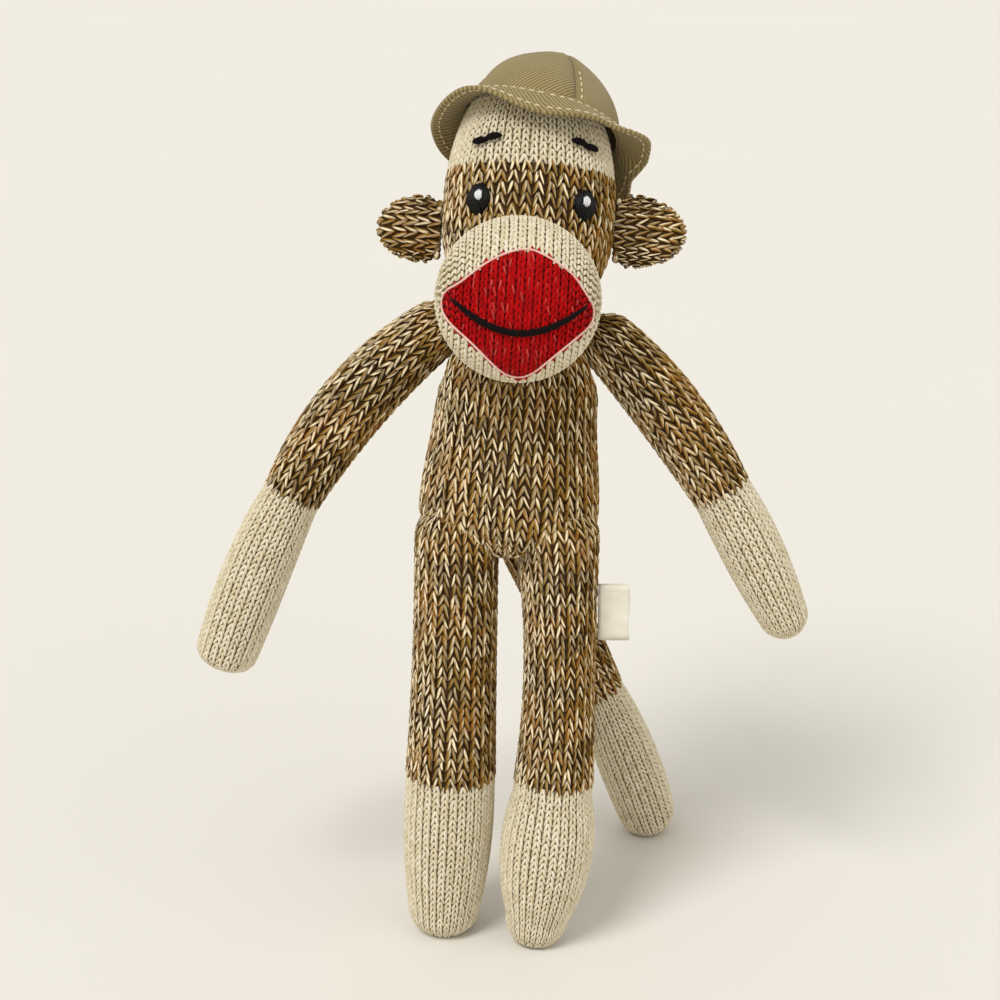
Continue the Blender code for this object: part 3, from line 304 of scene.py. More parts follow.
def swept_surface(route, profile, flatten=1.0):
    """A skin round a centre line, from its start to its end.

    profile lists (distance along the line, radius). The skin's point(u, t) takes turns round the line,
    from the back, and metres along the skin. flatten is its depth as a share of its width.
    """
    route = np.array([tuple(p) for p in route])
    steps = np.linalg.norm(np.diff(route, axis=0), axis=1)
    far = 0.05
    first, last = (route[0] - route[1]) / steps[0], (route[-1] - route[-2]) / steps[-1]
    lengths = np.concatenate([[-far, 0.0], np.cumsum(steps), [steps.sum() + far]])
    route = np.vstack([route[0] + first * far, route, route[-1] + last * far])
    aim = np.gradient(route, lengths, axis=0)
    aim /= np.linalg.norm(aim, axis=1, keepdims=True)
    along, radius = np.array(profile).T
    t_at = np.concatenate([[0.0], np.cumsum(np.hypot(np.diff(along), np.diff(radius)))])
    turn = np.linspace(0, 2 * np.pi, 361)
    arcs = np.hypot(np.diff(np.sin(turn)), flatten * np.diff(np.cos(turn)))
    share = np.concatenate([[0.0], np.cumsum(arcs)])
    girth = share[-1]
    share /= girth

    def point(u, t):
        s, r = np.interp(t, t_at, along), np.interp(t, t_at, radius)
        centre = np.stack([np.interp(s, lengths, route[:, i]) for i in range(3)], -1)
        down = np.stack([np.interp(s, lengths, aim[:, i]) for i in range(3)], -1)
        down /= np.linalg.norm(down, axis=-1, keepdims=True)
        front = np.array([0.0, -1.0, 0.0]) - down * (-down[..., 1:2])
        front /= np.linalg.norm(front, axis=-1, keepdims=True)
        side = np.cross(front, down)
        theta = np.interp(u % 1.0, share, turn)[..., None]
        return centre + r[..., None] * (np.sin(theta) * side - np.cos(theta) * front * flatten)

    return SimpleNamespace(
        point=point,
        girth=lambda t: girth * np.interp(t, t_at, radius),
        length=t_at[-1],
        reach=lambda s: float(np.interp(s, along, t_at)),
    )


def outward(surface, u, t):
    """Unit normals of a skin."""
    t = np.clip(t, 0.0004, surface.length - 0.0004)
    across = surface.point(u + 0.002, t) - surface.point(u - 0.002, t)
    down = surface.point(u, t + 0.0002) - surface.point(u, t - 0.0002)
    normal = np.cross(across, down)
    return normal / np.maximum(np.linalg.norm(normal, axis=-1, keepdims=True), 1e-12)


def stitch_places(surface, rows, wales, wale_width):
    """Columns of stitches round a skin: (turn, distance, turn of one column). Narrow rows drop columns."""
    places = []
    for t in rows:
        girth, count = float(surface.girth(t)), wales
        while girth / count < 0.6 * wale_width and count > 5:
            count //= 2
        if girth / count > 0.3 * wale_width:
            places.extend(((i + 0.5) / count, t, 1 / count) for i in range(count))
    return np.array(places)


def bead(segments):
    """One plump bead, its length along Y and its yarn map round and along it."""
    bm = bmesh.new()
    bm.loops.layers.uv.new("yarn")
    bmesh.ops.create_uvsphere(bm, u_segments=6, v_segments=segments, radius=1.0, calc_uvs=True)
    turn = Matrix.Rotation(math.pi / 2, 3, "Y") @ Matrix.Rotation(math.pi / 2, 3, "X")
    bmesh.ops.rotate(bm, cent=(0, 0, 0), matrix=turn, verts=bm.verts)
    mesh = bpy.data.meshes.new("bead")
    bm.to_mesh(mesh)
    bm.free()
    return mesh


full_bead = bead(6)
small_bead = bead(5)


# On the shared map a piece's backing has the lowest strip, and each bead a square above it with a margin
BACKING_STRIP = 0.08
BEADS_FROM = 0.09
BEADS_SHARE = 0.9
BEAD_MARGIN = 0.08


def laid_beads(one, count, seed):
    """A mesh of beads and their shapes. Each has its own square of the shared map and a random tone."""
    bm = bmesh.new()
    for _ in range(count):
        bm.from_mesh(one)
    mesh = bpy.data.meshes.new("beads")
    bm.to_mesh(mesh)
    bm.free()
    shapes = np.empty(3 * len(mesh.vertices))
    mesh.vertices.foreach_get("co", shapes)
    yarn_map = np.empty(2 * len(mesh.loops))
    mesh.uv_layers["yarn"].uv.foreach_get("vector", yarn_map)
    yarn_map = yarn_map.reshape(count, -1, 2).clip(0, 1)
    columns = math.ceil(math.sqrt(count))
    corner = np.stack([np.arange(count) % columns, np.arange(count) // columns], -1)[:, None]
    own = (corner + BEAD_MARGIN + (1 - 2 * BEAD_MARGIN) * yarn_map) / columns
    own[..., 1] = BEADS_FROM + BEADS_SHARE * own[..., 1]
    mesh.uv_layers.new(name="OFBake").uv.foreach_set("vector", own.ravel())
    tones = np.random.default_rng(seed).random(count)
    tone = mesh.attributes.new("tone", "FLOAT", "POINT")
    tone.data.foreach_set("value", np.repeat(tones, len(one.vertices)))
    return mesh, shapes.reshape(count, -1, 3)


# One leg of a V: how far its top and foot lie from the column's middle and its half width and half
# thickness, in column widths, its length in rows, and how deep it sits, in metres.
MARL_STITCH = SimpleNamespace(
    top=0.42, foot=0.075, width=0.205, thickness=0.19, length=1.42, sink=0.0003, tilt=0.00042,
    wobble=0.085, bead=full_bead,
)
MARL_WALE = 0.0041
MARL_COURSE = 0.0037
BACKING_INSET = 0.0011
POLE_WIDTH = 0.004
PULL_STEPS = 60
PULL_SHARE = 0.03
FLOOR_CLEARANCE = 0.00015


def knit(name, surface, places, stitch, course, yarn, backing, blocked=None, keep=None, pull_to=None, seed=1,
         backing_grid=(56, 40), backing_span=None, backing_patch=None, backing_keep=None):
    """One knitted skin as a mesh: V stitches at their places over a closed backing, whose finish is painted
    shade for the gaps between them.

    blocked(points) tells which points lie in the room of a neighbour: no stitch is made there, and the
    backing is drawn in towards pull_to. keep(points) tells which halves of stitches to make.
    """
    rng = np.random.default_rng(seed)
    side = np.tile([-1.0, 1.0], len(places))
    places = np.repeat(places, 2, axis=0)
    middles = surface.point(places[:, 0] + side * 0.25 * places[:, 2], places[:, 1])
    wanted = np.ones(len(places), bool)
    if blocked:
        wanted &= ~blocked(middles)
    if keep:
        wanted &= keep(middles)
    places, side = places[wanted], side[wanted][:, None]
    count = len(places)
    mesh, unit = laid_beads(stitch.bead, count, seed)
    u0, t0, wale = (places[:, i : i + 1] for i in range(3))
    fuller = np.maximum(np.hypot(unit[..., 0], unit[..., 2]), 1e-6) ** -0.25
    x, y, z = unit[..., 0] * fuller, unit[..., 1], unit[..., 2] * fuller
    jitter = rng.normal(0, stitch.wobble, (count, 5))
    middle = (stitch.top + stitch.foot) / 2 + jitter[:, :1] * 0.4
    lean = (stitch.foot - stitch.top) / 2 + jitter[:, 1:2] * 0.5
    swell = 1 - 0.16 * y
    across = side * (middle + lean * y + 0.05 * (1 - y * y))
    across = across + x * stitch.width * swell * (1 + jitter[:, 2:3])
    down = y * stitch.length * course / 2 * (1 + jitter[:, 3:4]) + jitter[:, 4:5] * course * 0.5
    down = down - side * x * 0.12 * course
    u, t = u0 + across * wale, np.clip(t0 + down, 0.0, surface.length)
    width = surface.girth(t0) * wale
    lift = z * stitch.thickness * np.minimum(width, 1.15 * MARL_WALE) * swell + stitch.tilt * y - stitch.sink
    points = surface.point(u, t) + outward(surface, u, t) * lift[..., None]
    points[..., 2] = np.maximum(points[..., 2], FLOOR_CLEARANCE)
    mesh.vertices.foreach_set("co", points.ravel())
    bm = bmesh.new()
    bm.from_mesh(mesh)
    bpy.data.meshes.remove(mesh)

    # The backing starts as a flat grid whose sides become the turns and the length of the skin
    start, stop = backing_span or (0.0, surface.length)
    back = bmesh.new()
    back_map = back.loops.layers.uv.new("OFBake")
    columns, rows = backing_grid
    bmesh.ops.create_grid(back, x_segments=columns, y_segments=rows, size=0.5)
    flat = np.array([v.co for v in back.verts])
    for face in back.faces:
        for loop in face.loops:
            loop[back_map].uv = (loop.vert.co.x + 0.5, (loop.vert.co.y + 0.5) * BACKING_STRIP)
    turns, spots = flat[:, 0] + 0.5, start + (flat[:, 1] + 0.5) * (stop - start)
    inner = surface.point(turns, spots) - outward(surface, turns, spots) * BACKING_INSET
    for end in (flat[:, 1] < -0.4999, flat[:, 1] > 0.4999):
        if np.ptp(surface.point(turns[end], spots[end]), axis=0).max() < POLE_WIDTH:
            inner[end] = inner[end].mean(0)
    if blocked:
        for _ in range(PULL_STEPS):
            caught = blocked(inner)
            inner[caught] += (np.array(pull_to) - inner[caught]) * PULL_SHARE
    inner[:, 2] = np.maximum(inner[:, 2], FLOOR_CLEARANCE)
    for vert, place in zip(back.verts, inner):
        vert.co = place
    bmesh.ops.remove_doubles(back, verts=back.verts, dist=0.00003)
    if backing_keep:
        kept = backing_keep(np.array([f.calc_center_median() for f in back.faces]))
        loose = [f for f, wanted in zip(back.faces, kept) if not wanted]
        bmesh.ops.delete(back, geom=loose, context="FACES")
    else:
        bmesh.ops.holes_fill(back, edges=[e for e in back.edges if e.is_boundary], sides=0)
    bmesh.ops.recalc_face_normals(back, faces=back.faces)
    for face in back.faces:
        face.material_index = 1
    if backing_patch:
        patched = backing_patch(np.array([f.calc_center_median() for f in back.faces]))
        for face, other in zip(back.faces, patched):
            face.material_index = 2 if other else 1
    plain = bpy.data.meshes.new("backing")
    back.to_mesh(plain)
    back.free()
    bm.from_mesh(plain)
    bpy.data.meshes.remove(plain)
    mesh = bpy.data.meshes.new(name)
    bm.to_mesh(mesh)
    bm.free()
    mesh.shade_smooth()
    piece = bpy.data.objects.new(name, mesh)
    scene.collection.objects.link(piece)
    # The backing's finish is painted shade: a darker copy of the yarn, for the gaps between stitches.
    for finish in (yarn, backing):
        mesh.materials.append(finish)
    return piece


TORSO_LENGTH = 0.0725
TORSO_LEAN_BACK = 6.3
TORSO_LEAN_LEFT = 4.1
TORSO_HIP = (0.0302, 0.008)
TORSO_CHEST = (0.0269, 0.046)
TORSO_DEPTH_SHARE = 0.74
TORSO_BOTTOM = -0.008
TORSO_NECK_RADIUS = 0.0115
TORSO_WALES = 40
torso_place = (
    Matrix.Translation(hip_middle)
    @ Matrix.Rotation(math.radians(TORSO_LEAN_LEFT), 4, "Y")
    @ Matrix.Rotation(math.radians(-TORSO_LEAN_BACK), 4, "X")
)
torso_outline = [
    (0.0, TORSO_BOTTOM),
    *eased_quarter((0.0, TORSO_BOTTOM), TORSO_HIP, True),
    *[
        (
            TORSO_HIP[0] + (TORSO_CHEST[0] - TORSO_HIP[0]) * share * share * (3 - 2 * share),
            TORSO_HIP[1] + (TORSO_CHEST[1] - TORSO_HIP[1]) * share,
        )
        for share in np.linspace(0.1, 1.0, 10)
    ],
    *eased_quarter(TORSO_CHEST, (TORSO_NECK_RADIUS, TORSO_LENGTH), False),
]


def turned_surface(place, outline, flatten):
    """A skin turned about its own upright axis, top down. outline lists (half width, height), upwards."""
    top = outline[-1][1]
    route = [place @ Vector((0, 0, top)), place @ Vector((0, 0, outline[0][1]))]
    profile = [(top - height, max(width, 0.0)) for width, height in reversed(outline)]
    return swept_surface(route, profile, flatten)


torso_skin = turned_surface(torso_place, torso_outline, TORSO_DEPTH_SHARE)
neck = torso_place @ Vector((0, 0, TORSO_LENGTH))

# How the head sits on the neck, and the limbs in the torso: the rooms that the torso's skin leaves free
HEAD_TILT_BACK = 21.0
HEAD_LEAN_LEFT = 3.5
HEAD_PIVOT_RISE = 0.014
head_turn = Matrix.Rotation(math.radians(HEAD_LEAN_LEFT), 4, "Y") @ Matrix.Rotation(
    math.radians(-HEAD_TILT_BACK), 4, "X"
)
head_place = Matrix.Translation(neck) @ head_turn
LEG_ROOT_RADIUS = 0.0140
ARM_ROOT_RADIUS = 0.0098
TAIL_ROOT_RADIUS = 0.0078
ROOT_GAP = 0.0007
rooms = []
for side, word in ((RIGHT, "right"), (LEFT, "left")):
    hip, shoulder = JOINT_AT[f"{word}_leg_swing"], JOINT_AT[f"{word}_arm_swing"]
    for swing in range(-20, 91, 10):
        aim = Vector((0, -math.sin(math.radians(swing)), -math.cos(math.radians(swing))))
        rooms.append((hip, hip + aim * 0.04, LEG_ROOT_RADIUS + ROOT_GAP))
    for droop in (40.0, 56.0, 66.0):
        aim = Vector((side * math.cos(math.radians(droop)), 0, -math.sin(math.radians(droop))))
        rooms.append((shoulder, shoulder + aim * 0.04, ARM_ROOT_RADIUS + 2 * ROOT_GAP))
tail_root = JOINT_AT["tail_swing"]
for swung in (-44.0, -24.0, -4.0, 16.0, 36.0):
    for lifted in (18.0, 34.0, 50.0, 65.0, 80.0):
        turn = Matrix.Rotation(math.radians(swung), 3, "Y") @ Matrix.Rotation(math.radians(lifted), 3, "X")
        rooms.append((tail_root, tail_root + turn @ -UP * 0.04, TAIL_ROOT_RADIUS + ROOT_GAP))
NECK_EDGE = -0.0012


def local(place, points):
    """Points in a piece's own place."""
    back = np.array(place.inverted())
    return points @ back[:3, :3].T + back[:3, 3]


def in_rooms(points, chosen=None):
    """Points that lie in the room of a limb's root or of the neck."""
    caught = local(head_place, points)[:, 2] > NECK_EDGE
    for start, end, radius in chosen or rooms:
        start, run = np.array(start), np.array(end - start)
        share = np.clip((points - start) @ run / (run @ run), 0, 1)[:, None]
        caught |= np.linalg.norm(points - start - share * run, axis=1) < radius
    return caught


HIP_FOLD_REACH = 0.028


def in_hip(word, margin=0.0):
    """A test for the torso's skin in the room that one leg swings through, outside the leg at rest."""
    hip = np.array(JOINT_AT[f"{word}_leg_swing"])
    own = [
        (start, end, radius + margin)
        for start, end, radius in rooms
        if (start - JOINT_AT[f"{word}_leg_swing"]).length < 1e-6
    ]

    def test(points):
        off = points - hip
        near = np.linalg.norm(off, axis=1) < HIP_FOLD_REACH + margin
        down = np.linalg.norm(off[:, :2], axis=1) < LEG_ROOT_RADIUS - 0.0015 - margin
        dome = np.linalg.norm(off, axis=1) < LEG_ROOT_RADIUS - 0.0015 - margin
        inside = np.where(off[:, 2] < 0, down, dome)
        return near & in_rooms(points, own) & ~inside

    return test


rows = np.arange(0.5 * MARL_COURSE, torso_skin.length, MARL_COURSE)
torso_places = stitch_places(torso_skin, rows, TORSO_WALES, MARL_WALE)
for word in ("right", "left"):
    hip = JOINT_AT[f"{word}_leg_swing"]
    fold = knit(
        f"{word}_hip_knit", torso_skin, torso_places, MARL_STITCH, MARL_COURSE, marl_yarn, marl_shadow,
        keep=in_hip(word), seed=15, backing_grid=(96, 72), backing_keep=in_hip(word, 0.002),
    )
    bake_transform(fold)
torso = knit(
    "torso_knit",
    torso_skin,
    torso_places,
    MARL_STITCH,
    MARL_COURSE,
    marl_yarn,
    marl_shadow,
    blocked=in_rooms,
    pull_to=torso_place @ Vector((0, 0, 0.034)),
    seed=11,
    backing_grid=(96, 72),
)
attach(torso, "torso")
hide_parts("torso_cover", "torso_stuffing")

# Legs and feet: one stuffed tube each, brown above and cream below where the sock's toe yarn begins.
# The cream part is finer, with its columns drawn together at the toe, and stands flat on its sole.
CREAM_WALE = 0.0030
CREAM_COURSE = 0.00235
CREAM_STITCH = SimpleNamespace(
    top=0.38, foot=0.10, width=0.215, thickness=0.21, length=1.45, sink=0.0003, tilt=0.00020,
    wobble=0.05, bead=small_bead,
)

FINE_STITCH = SimpleNamespace(
    top=0.36, foot=0.12, width=0.25, thickness=0.19, length=1.55, sink=0.0003, tilt=0.00012, wobble=0.04,
    bead=small_bead,
)

# Cream wool blend, not bleached: a soft white with yellower fibres, its plies just visible through painted
# shade in the grooves between them.
cream_yarn, tree, shader = new_material("cream wool yarn")
split, tone, fibre_place = fibre_coords(tree, 9.0, 2.0)
fibre = add_node(tree, "TexNoise", {"Vector": fibre_place.outputs[0], "Scale": 1.0, "Detail": 3.0})
base = blend_colour(tree, tone.outputs["Fac"], "#d5c8a5", "#e9dfc6")
# A thin darker line along the groove between plies: painted shade.
ply_groove_shade = ply_band(tree, split, tone, 0.12, 0.035, 0.035)
deep = add_node(tree, "Math", {0: ply_groove_shade.outputs[0], 1: 0.45}, operation="MULTIPLY")
base = blend_colour(tree, deep.outputs[0], base, "#b9a97f")
light = add_node(
    tree, "MapRange", {"Value": fibre.outputs["Fac"], "From Min": 0.5, "From Max": 0.72, "To Max": 0.7}
)
base = blend_colour(tree, light.outputs[0], base, "#f8f2e2")
finish_yarn(tree, shader, base, fibre.outputs["Fac"], 0.0003, 0.08)

# The cream knit's backing: painted shade, a darker cream for the gaps between stitches.
cream_shadow = shaded_knit_back("cream knit back in painted shade", 800.0, "#8f8360", "#bdb08a")

CUFF_OPENING = math.radians(24.0)
ROOT_POLAR = math.radians(10.0)
BEND_AIM = 0.004


def swell_between(share, first, middle, last):
    """A radius that passes through three values at the start, the middle and the end."""
    ends = first * (1 - share) * (1 - 2 * share) + middle * 4 * share * (1 - share)
    return ends + last * share * (2 * share - 1)


def bezier(points, steps=60):
    """Points along one Bezier curve."""
    line = []
    for i in range(steps + 1):
        rung = list(points)
        while len(rung) > 1:
            rung = [a.lerp(b, i / steps) for a, b in zip(rung, rung[1:])]
        line.append(rung[0])
    return line


def limb(upper, lower, route, joint_at, upper_radii, lower_radii, end_depth, marl_wales, cream_wales, seed,
         fullness=1.0):
    """Knits both lengths of a limb over one skin."""
    total = sum((b - a).length for a, b in zip(route, route[1:]))
    rim = joint_at - lower_radii[0] * math.sin(CUFF_OPENING)
    profile = [
        (-upper_radii[0] * math.cos(a), upper_radii[0] * math.sin(a))
        for a in np.linspace(0, np.pi / 2, 14)[:-1]
    ]
    profile += [(rim * s, swell_between(s, *upper_radii)) for s in np.linspace(0, 1, 40)]
    profile += [
        (joint_at + (total - joint_at) * s, swell_between(s, *lower_radii)) for s in np.linspace(0, 1, 40)
    ]
    profile += [
        (total + end_depth * math.sin(a), lower_radii[2] * math.cos(a) ** (1 / fullness))
        for a in np.linspace(0, np.pi / 2, 18)[1:]
    ]
    skin = swept_surface(route, profile)
    boundary = skin.reach(rim)
    root = upper_radii[0] * ROOT_POLAR
    rows = np.arange(boundary - 0.35 * MARL_COURSE, root, -MARL_COURSE)
    marl = knit(
        f"{upper}_knit", skin, stitch_places(skin, rows, marl_wales, MARL_WALE), MARL_STITCH, MARL_COURSE,
        marl_yarn, marl_shadow, seed=seed, backing_grid=(32, 60), backing_span=(0.0, boundary),
    )
    rows = np.arange(boundary + 0.55 * CREAM_COURSE, skin.length - 0.0006, CREAM_COURSE)
    cream = knit(
        f"{lower}_knit", skin, stitch_places(skin, rows, cream_wales, CREAM_WALE), CREAM_STITCH, CREAM_COURSE,
        cream_yarn, cream_shadow, seed=seed + 1, backing_grid=(32, 60), backing_span=(boundary, skin.length),
    )
    middle, ahead = (
        (Vector(skin.point(np.array([0.25]), at)[0]) + Vector(skin.point(np.array([0.75]), at)[0])) / 2
        for at in (np.array([skin.reach(joint_at)]), np.array([skin.reach(joint_at + BEND_AIM)]))
    )
    for piece, slot, nodes in (
        (marl, "knit_brown", (upper, f"{upper}_stuffing")),
        (cream, "knit_cream", (lower, f"{lower}_stuffing")),
    ):
        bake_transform(piece)
        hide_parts(*nodes)


FOOT_LENGTH = 0.0467
FLOOR_CUT = 0.0012
for word, toe, depth, bow, leg_radii, foot_radii, seed in (
    ("right", (-0.0200, -0.0160), 0.0100, 0.0015, (0.0140, 0.0142, 0.0154), (0.0154, 0.0152, 0.0126), 21),
    ("left", (0.0130, -0.0250), 0.0110, 0.0070, (0.0140, 0.0121, 0.0136), (0.0136, 0.0160, 0.0110), 31),
):
    hip = JOINT_AT[f"{word}_leg_swing"]
    toe_centre = doll_zero + Vector((*toe, depth - FLOOR_CUT))
    route = bezier([hip, (hip + toe_centre) / 2 + Vector((bow, 0, 0)), toe_centre])
    total = sum((b - a).length for a, b in zip(route, route[1:]))
    limb(
        f"{word}_leg", f"{word}_foot", route, total - FOOT_LENGTH, leg_radii, foot_radii, depth, 22, 31, seed,
        fullness=1.15,
    )


# Arms and hands: thinner tubes of the same socks, sewn shut at the shoulder. The doll's right hand ends
# square, where the tube was closed straight across, and its left one tapers.
def drooping(start, side, angles, length, steps=60):
    """A limb's centre line whose slope below level eases from the first angle to the second."""
    line = [start.copy()]
    for i in range(steps):
        ease = math.sin(math.pi / 2 * (i + 0.5) / steps)
        slope = math.radians(angles[0] + (angles[1] - angles[0]) * ease)
        line.append(line[-1] + Vector((side * math.cos(slope), 0, -math.sin(slope))) * (length / steps))
    return line


for side, word, length, hand_length, droop, arm_radii, hand_radii, depth, full, seed in (
    (RIGHT, "right", 0.0785, 0.0595, (36.0, 69.5), (0.0098, 0.0116, 0.0100), (0.0100, 0.0115, 0.0107), 0.0062,
     1.7, 41),
    (LEFT, "left", 0.0680, 0.0478, (45.0, 64.5), (0.0098, 0.0114, 0.0102), (0.0102, 0.0106, 0.0086), 0.0084,
     1.0, 51),
):
    route = drooping(JOINT_AT[f"{word}_arm_swing"], side, droop, length + hand_length)
    limb(
        f"{word}_arm", f"{word}_hand", route, length, arm_radii, hand_radii, depth, 17, 23, seed,
        fullness=full,
    )

# Tail: the same brown and cream tube once more, sewn low on the back. Its end rests on the table.
TAIL_TIP_LENGTH = 0.0615
TAIL_END_PLACE = (0.0572, 0.0590)
TAIL_END_RADIUS = 0.0110
TAIL_BOW = 0.0060
tail_end = doll_zero + Vector((*TAIL_END_PLACE, TAIL_END_RADIUS - FLOOR_CUT))
route = bezier([tail_root, (tail_root + tail_end) / 2 + Vector((TAIL_BOW, TAIL_BOW, 0)), tail_end])
total = sum((b - a).length for a, b in zip(route, route[1:]))
limb(
    "tail", "tail_tip", route, total - TAIL_TIP_LENGTH, (TAIL_ROOT_RADIUS, 0.0096, 0.0092),
    (0.0092, 0.0116, TAIL_END_RADIUS), TAIL_END_RADIUS, 14, 23, 61,
)

# Thread ties: strong pale thread, wound round each arm and the tail where it is sewn
# to the torso. Its tan colour is painted shade, the pale thread darkened as if it lay in the seam's shadow.
shaded_tie_thread, tree, shader = new_material("pale tie thread in painted shade")
coords = add_node(tree, "TexCoord")
twist = add_node(
    tree, "TexWave", {"Vector": coords.outputs["Object"], "Scale": 900.0, "Distortion": 1.0},
    bands_direction="DIAGONAL",
)
# Tan instead of the thread's own pale colour: painted shade of the seam, with twist bands along it.
colour = blend_colour(tree, twist.outputs["Fac"], "#8f7848", "#c4b184")
finish_yarn(tree, shader, colour, twist.outputs["Fac"], 0.0001, 0.0)


def new_piece(name, bm, finish, place=Matrix()):
    """An object from a bmesh, its faces outward and its place in its mesh."""
    bmesh.ops.remove_doubles(bm, verts=bm.verts, dist=0.00002)
    bmesh.ops.recalc_face_normals(bm, faces=bm.faces)
    bm.transform(place)
    mesh = bpy.data.meshes.new(name)
    bm.to_mesh(mesh)
    bm.free()
    mesh.shade_smooth()
    mesh.materials.append(finish)
    piece = bpy.data.objects.new(name, mesh)
    scene.collection.objects.link(piece)
    return piece


TIE_THREAD_RADIUS = 0.0004
TIE_WINDS = 3
TIE_POLAR = math.radians(20)
TIE_JOINT_GAP = 0.0005
for name, body, joint, inward, dome in (
    ("right_arm_tie", "right_shoulder", "right_arm_swing", Vector((1, 0, 0)), ARM_ROOT_RADIUS),
    ("left_arm_tie", "left_shoulder", "left_arm_swing", Vector((-1, 0, 0)), ARM_ROOT_RADIUS),
    ("tail_tie", "tail_root", "tail_swing", Vector((0, -1, 0)), TAIL_ROOT_RADIUS),
):
    reach = dome + TIE_JOINT_GAP + 0.0007
    ring = reach * math.sin(TIE_POLAR)
    bm = bmesh.new()
    circle = bmesh.ops.create_circle(bm, segments=8, radius=TIE_THREAD_RADIUS)["verts"]
    bmesh.ops.rotate(bm, cent=(0, 0, 0), matrix=Matrix.Rotation(math.pi / 2, 3, "X"), verts=circle)
    bmesh.ops.translate(bm, vec=(ring, 0, -0.0003), verts=circle)
    bmesh.ops.spin(
        bm, geom=circle + bm.edges[:], cent=(0, 0, 0), axis=(0, 0, 1), angle=2 * math.pi * TIE_WINDS,
        steps=28 * TIE_WINDS, dvec=(0, 0, 0.0009 / (28 * TIE_WINDS)),
    )
    bmesh.ops.holes_fill(bm, edges=[e for e in bm.edges if e.is_boundary], sides=0)
    centre = JOINT_AT[joint] + inward * (reach * math.cos(TIE_POLAR))
    turn = UP.rotation_difference(inward).to_matrix().to_4x4()
    tie = new_piece(f"{name}_thread", bm, shaded_tie_thread, Matrix.Translation(centre) @ turn)
    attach(tie, body)
    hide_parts(name)

# Neck: the sock's own fabric drawn together in a small puckered roll between torso and head.
NECK_TIE_RADIUS = 0.0022
HEAD_DOME_RADIUS = 0.015
SEAT_GAP = 0.0003
neck_reach = HEAD_DOME_RADIUS + SEAT_GAP + NECK_TIE_RADIUS
neck_polar = math.radians(38)
neck_rise = HEAD_PIVOT_RISE - neck_reach * math.cos(neck_polar)
roll = [
    (
        neck_reach * math.sin(neck_polar) + NECK_TIE_RADIUS * math.cos(a),
        neck_rise + NECK_TIE_RADIUS * math.sin(a),
    )
    for a in np.linspace(math.radians(-170), math.radians(170), 40)
]
neck_skin = turned_surface(head_place, roll, 1.0)
rows = np.linspace(0.0012, neck_skin.length - 0.0012, 5)
neck_piece = knit(
    "neck_gather_knit", neck_skin, stitch_places(neck_skin, rows, 24, 0.0030), MARL_STITCH, 0.0026, marl_yarn,
    marl_shadow, seed=71, backing_grid=(48, 12),
)
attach(neck_piece, "neck")
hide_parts("neck_gather")

# Head: a stuffed dome that leans back, brown over the face with a cream crown knitted on above the
# brows. The change of yarn is jagged, because it follows the V's.
HEAD_HALF_WIDTH = 0.0285
HEAD_DEPTH_SHARE = 0.88
HEAD_CHEEK_RISE = 0.032
HEAD_BROW_RISE = 0.036
HEAD_HEIGHT = 0.086
HEAD_TOP_FULLNESS = 1.1
CROWN_LINE = 0.048
dome_edge = math.radians(60)
head_outline = [
    (HEAD_DOME_RADIUS * math.sin(p), HEAD_PIVOT_RISE - HEAD_DOME_RADIUS * math.cos(p))
    for p in np.linspace(0, dome_edge, 16)
]
head_outline += eased_quarter(head_outline[-1], (HEAD_HALF_WIDTH, HEAD_CHEEK_RISE), True)
head_outline += [(HEAD_HALF_WIDTH, HEAD_BROW_RISE)]
head_outline += eased_quarter(head_outline[-1], (0.0, HEAD_HEIGHT), False, HEAD_TOP_FULLNESS, 40)
head_skin = turned_surface(head_place, head_outline, HEAD_DEPTH_SHARE)
crown_edge = head_skin.reach(HEAD_HEIGHT - CROWN_LINE)

MUZZLE_RADIUS = 0.0266
MUZZLE_DEPTH = 0.0205
muzzle_place = head_place @ Matrix.Translation((-0.0026, -0.030, 0.0025))


def muzzle_share(points):
    """How far out points lie from the muzzle's middle, 1 on its skin."""
    inner = local(muzzle_place, points) / np.array([MUZZLE_RADIUS, MUZZLE_DEPTH, MUZZLE_RADIUS])
    return np.linalg.norm(inner, axis=1)


rows = np.arange(crown_edge + 0.30 * MARL_COURSE, head_skin.length - 0.008, MARL_COURSE)
face = knit(
    "face_knit", head_skin, stitch_places(head_skin, rows, 41, MARL_WALE), MARL_STITCH, MARL_COURSE,
    marl_yarn, marl_shadow, keep=lambda points: muzzle_share(points) > 0.93, seed=81, backing_grid=(64, 40),
    backing_span=(crown_edge, head_skin.length),
)
rows = np.arange(crown_edge - 0.55 * CREAM_COURSE, 0.002, -CREAM_COURSE)
crown = knit(
    "crown_knit", head_skin, stitch_places(head_skin, rows, 54, CREAM_WALE), CREAM_STITCH, CREAM_COURSE,
    cream_yarn, cream_shadow, seed=82, backing_grid=(64, 40), backing_span=(0.0, crown_edge),
)
for piece, slot, nodes in (
    (face, "knit_brown", ("head_cover", "head_stuffing")),
    (crown, "knit_cream", ("head_crown",)),
):
    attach(piece, "head")
    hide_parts(*nodes)

# Muzzle and lips: the sock's heel, a stuffed pocket of fine vertical ribs sewn low on the face, with a
# red window knitted into its middle. A thin pale edge runs round the red.
NOD_DOWN = math.radians(5.0)
HEAD_TURN = math.radians(20.0)
CHEST_GAP = 0.0016
head_pivot = head_place @ Vector((0, 0, HEAD_PIVOT_RISE))
head_axis = (head_turn @ UP).normalized()
head_side = (head_turn @ Vector((1, 0, 0))).normalized()
torso_widths, torso_heights = np.array(torso_outline).T


def in_head(points):
    """Points inside the head's skin."""
    own = local(head_place, points)
    widths, heights = np.array(head_outline).T
    half = np.interp(own[:, 2], heights, widths, left=0, right=0) - 0.0006
    return (own[:, 0] ** 2 + (own[:, 1] / HEAD_DEPTH_SHARE) ** 2) < np.maximum(half, 0) ** 2


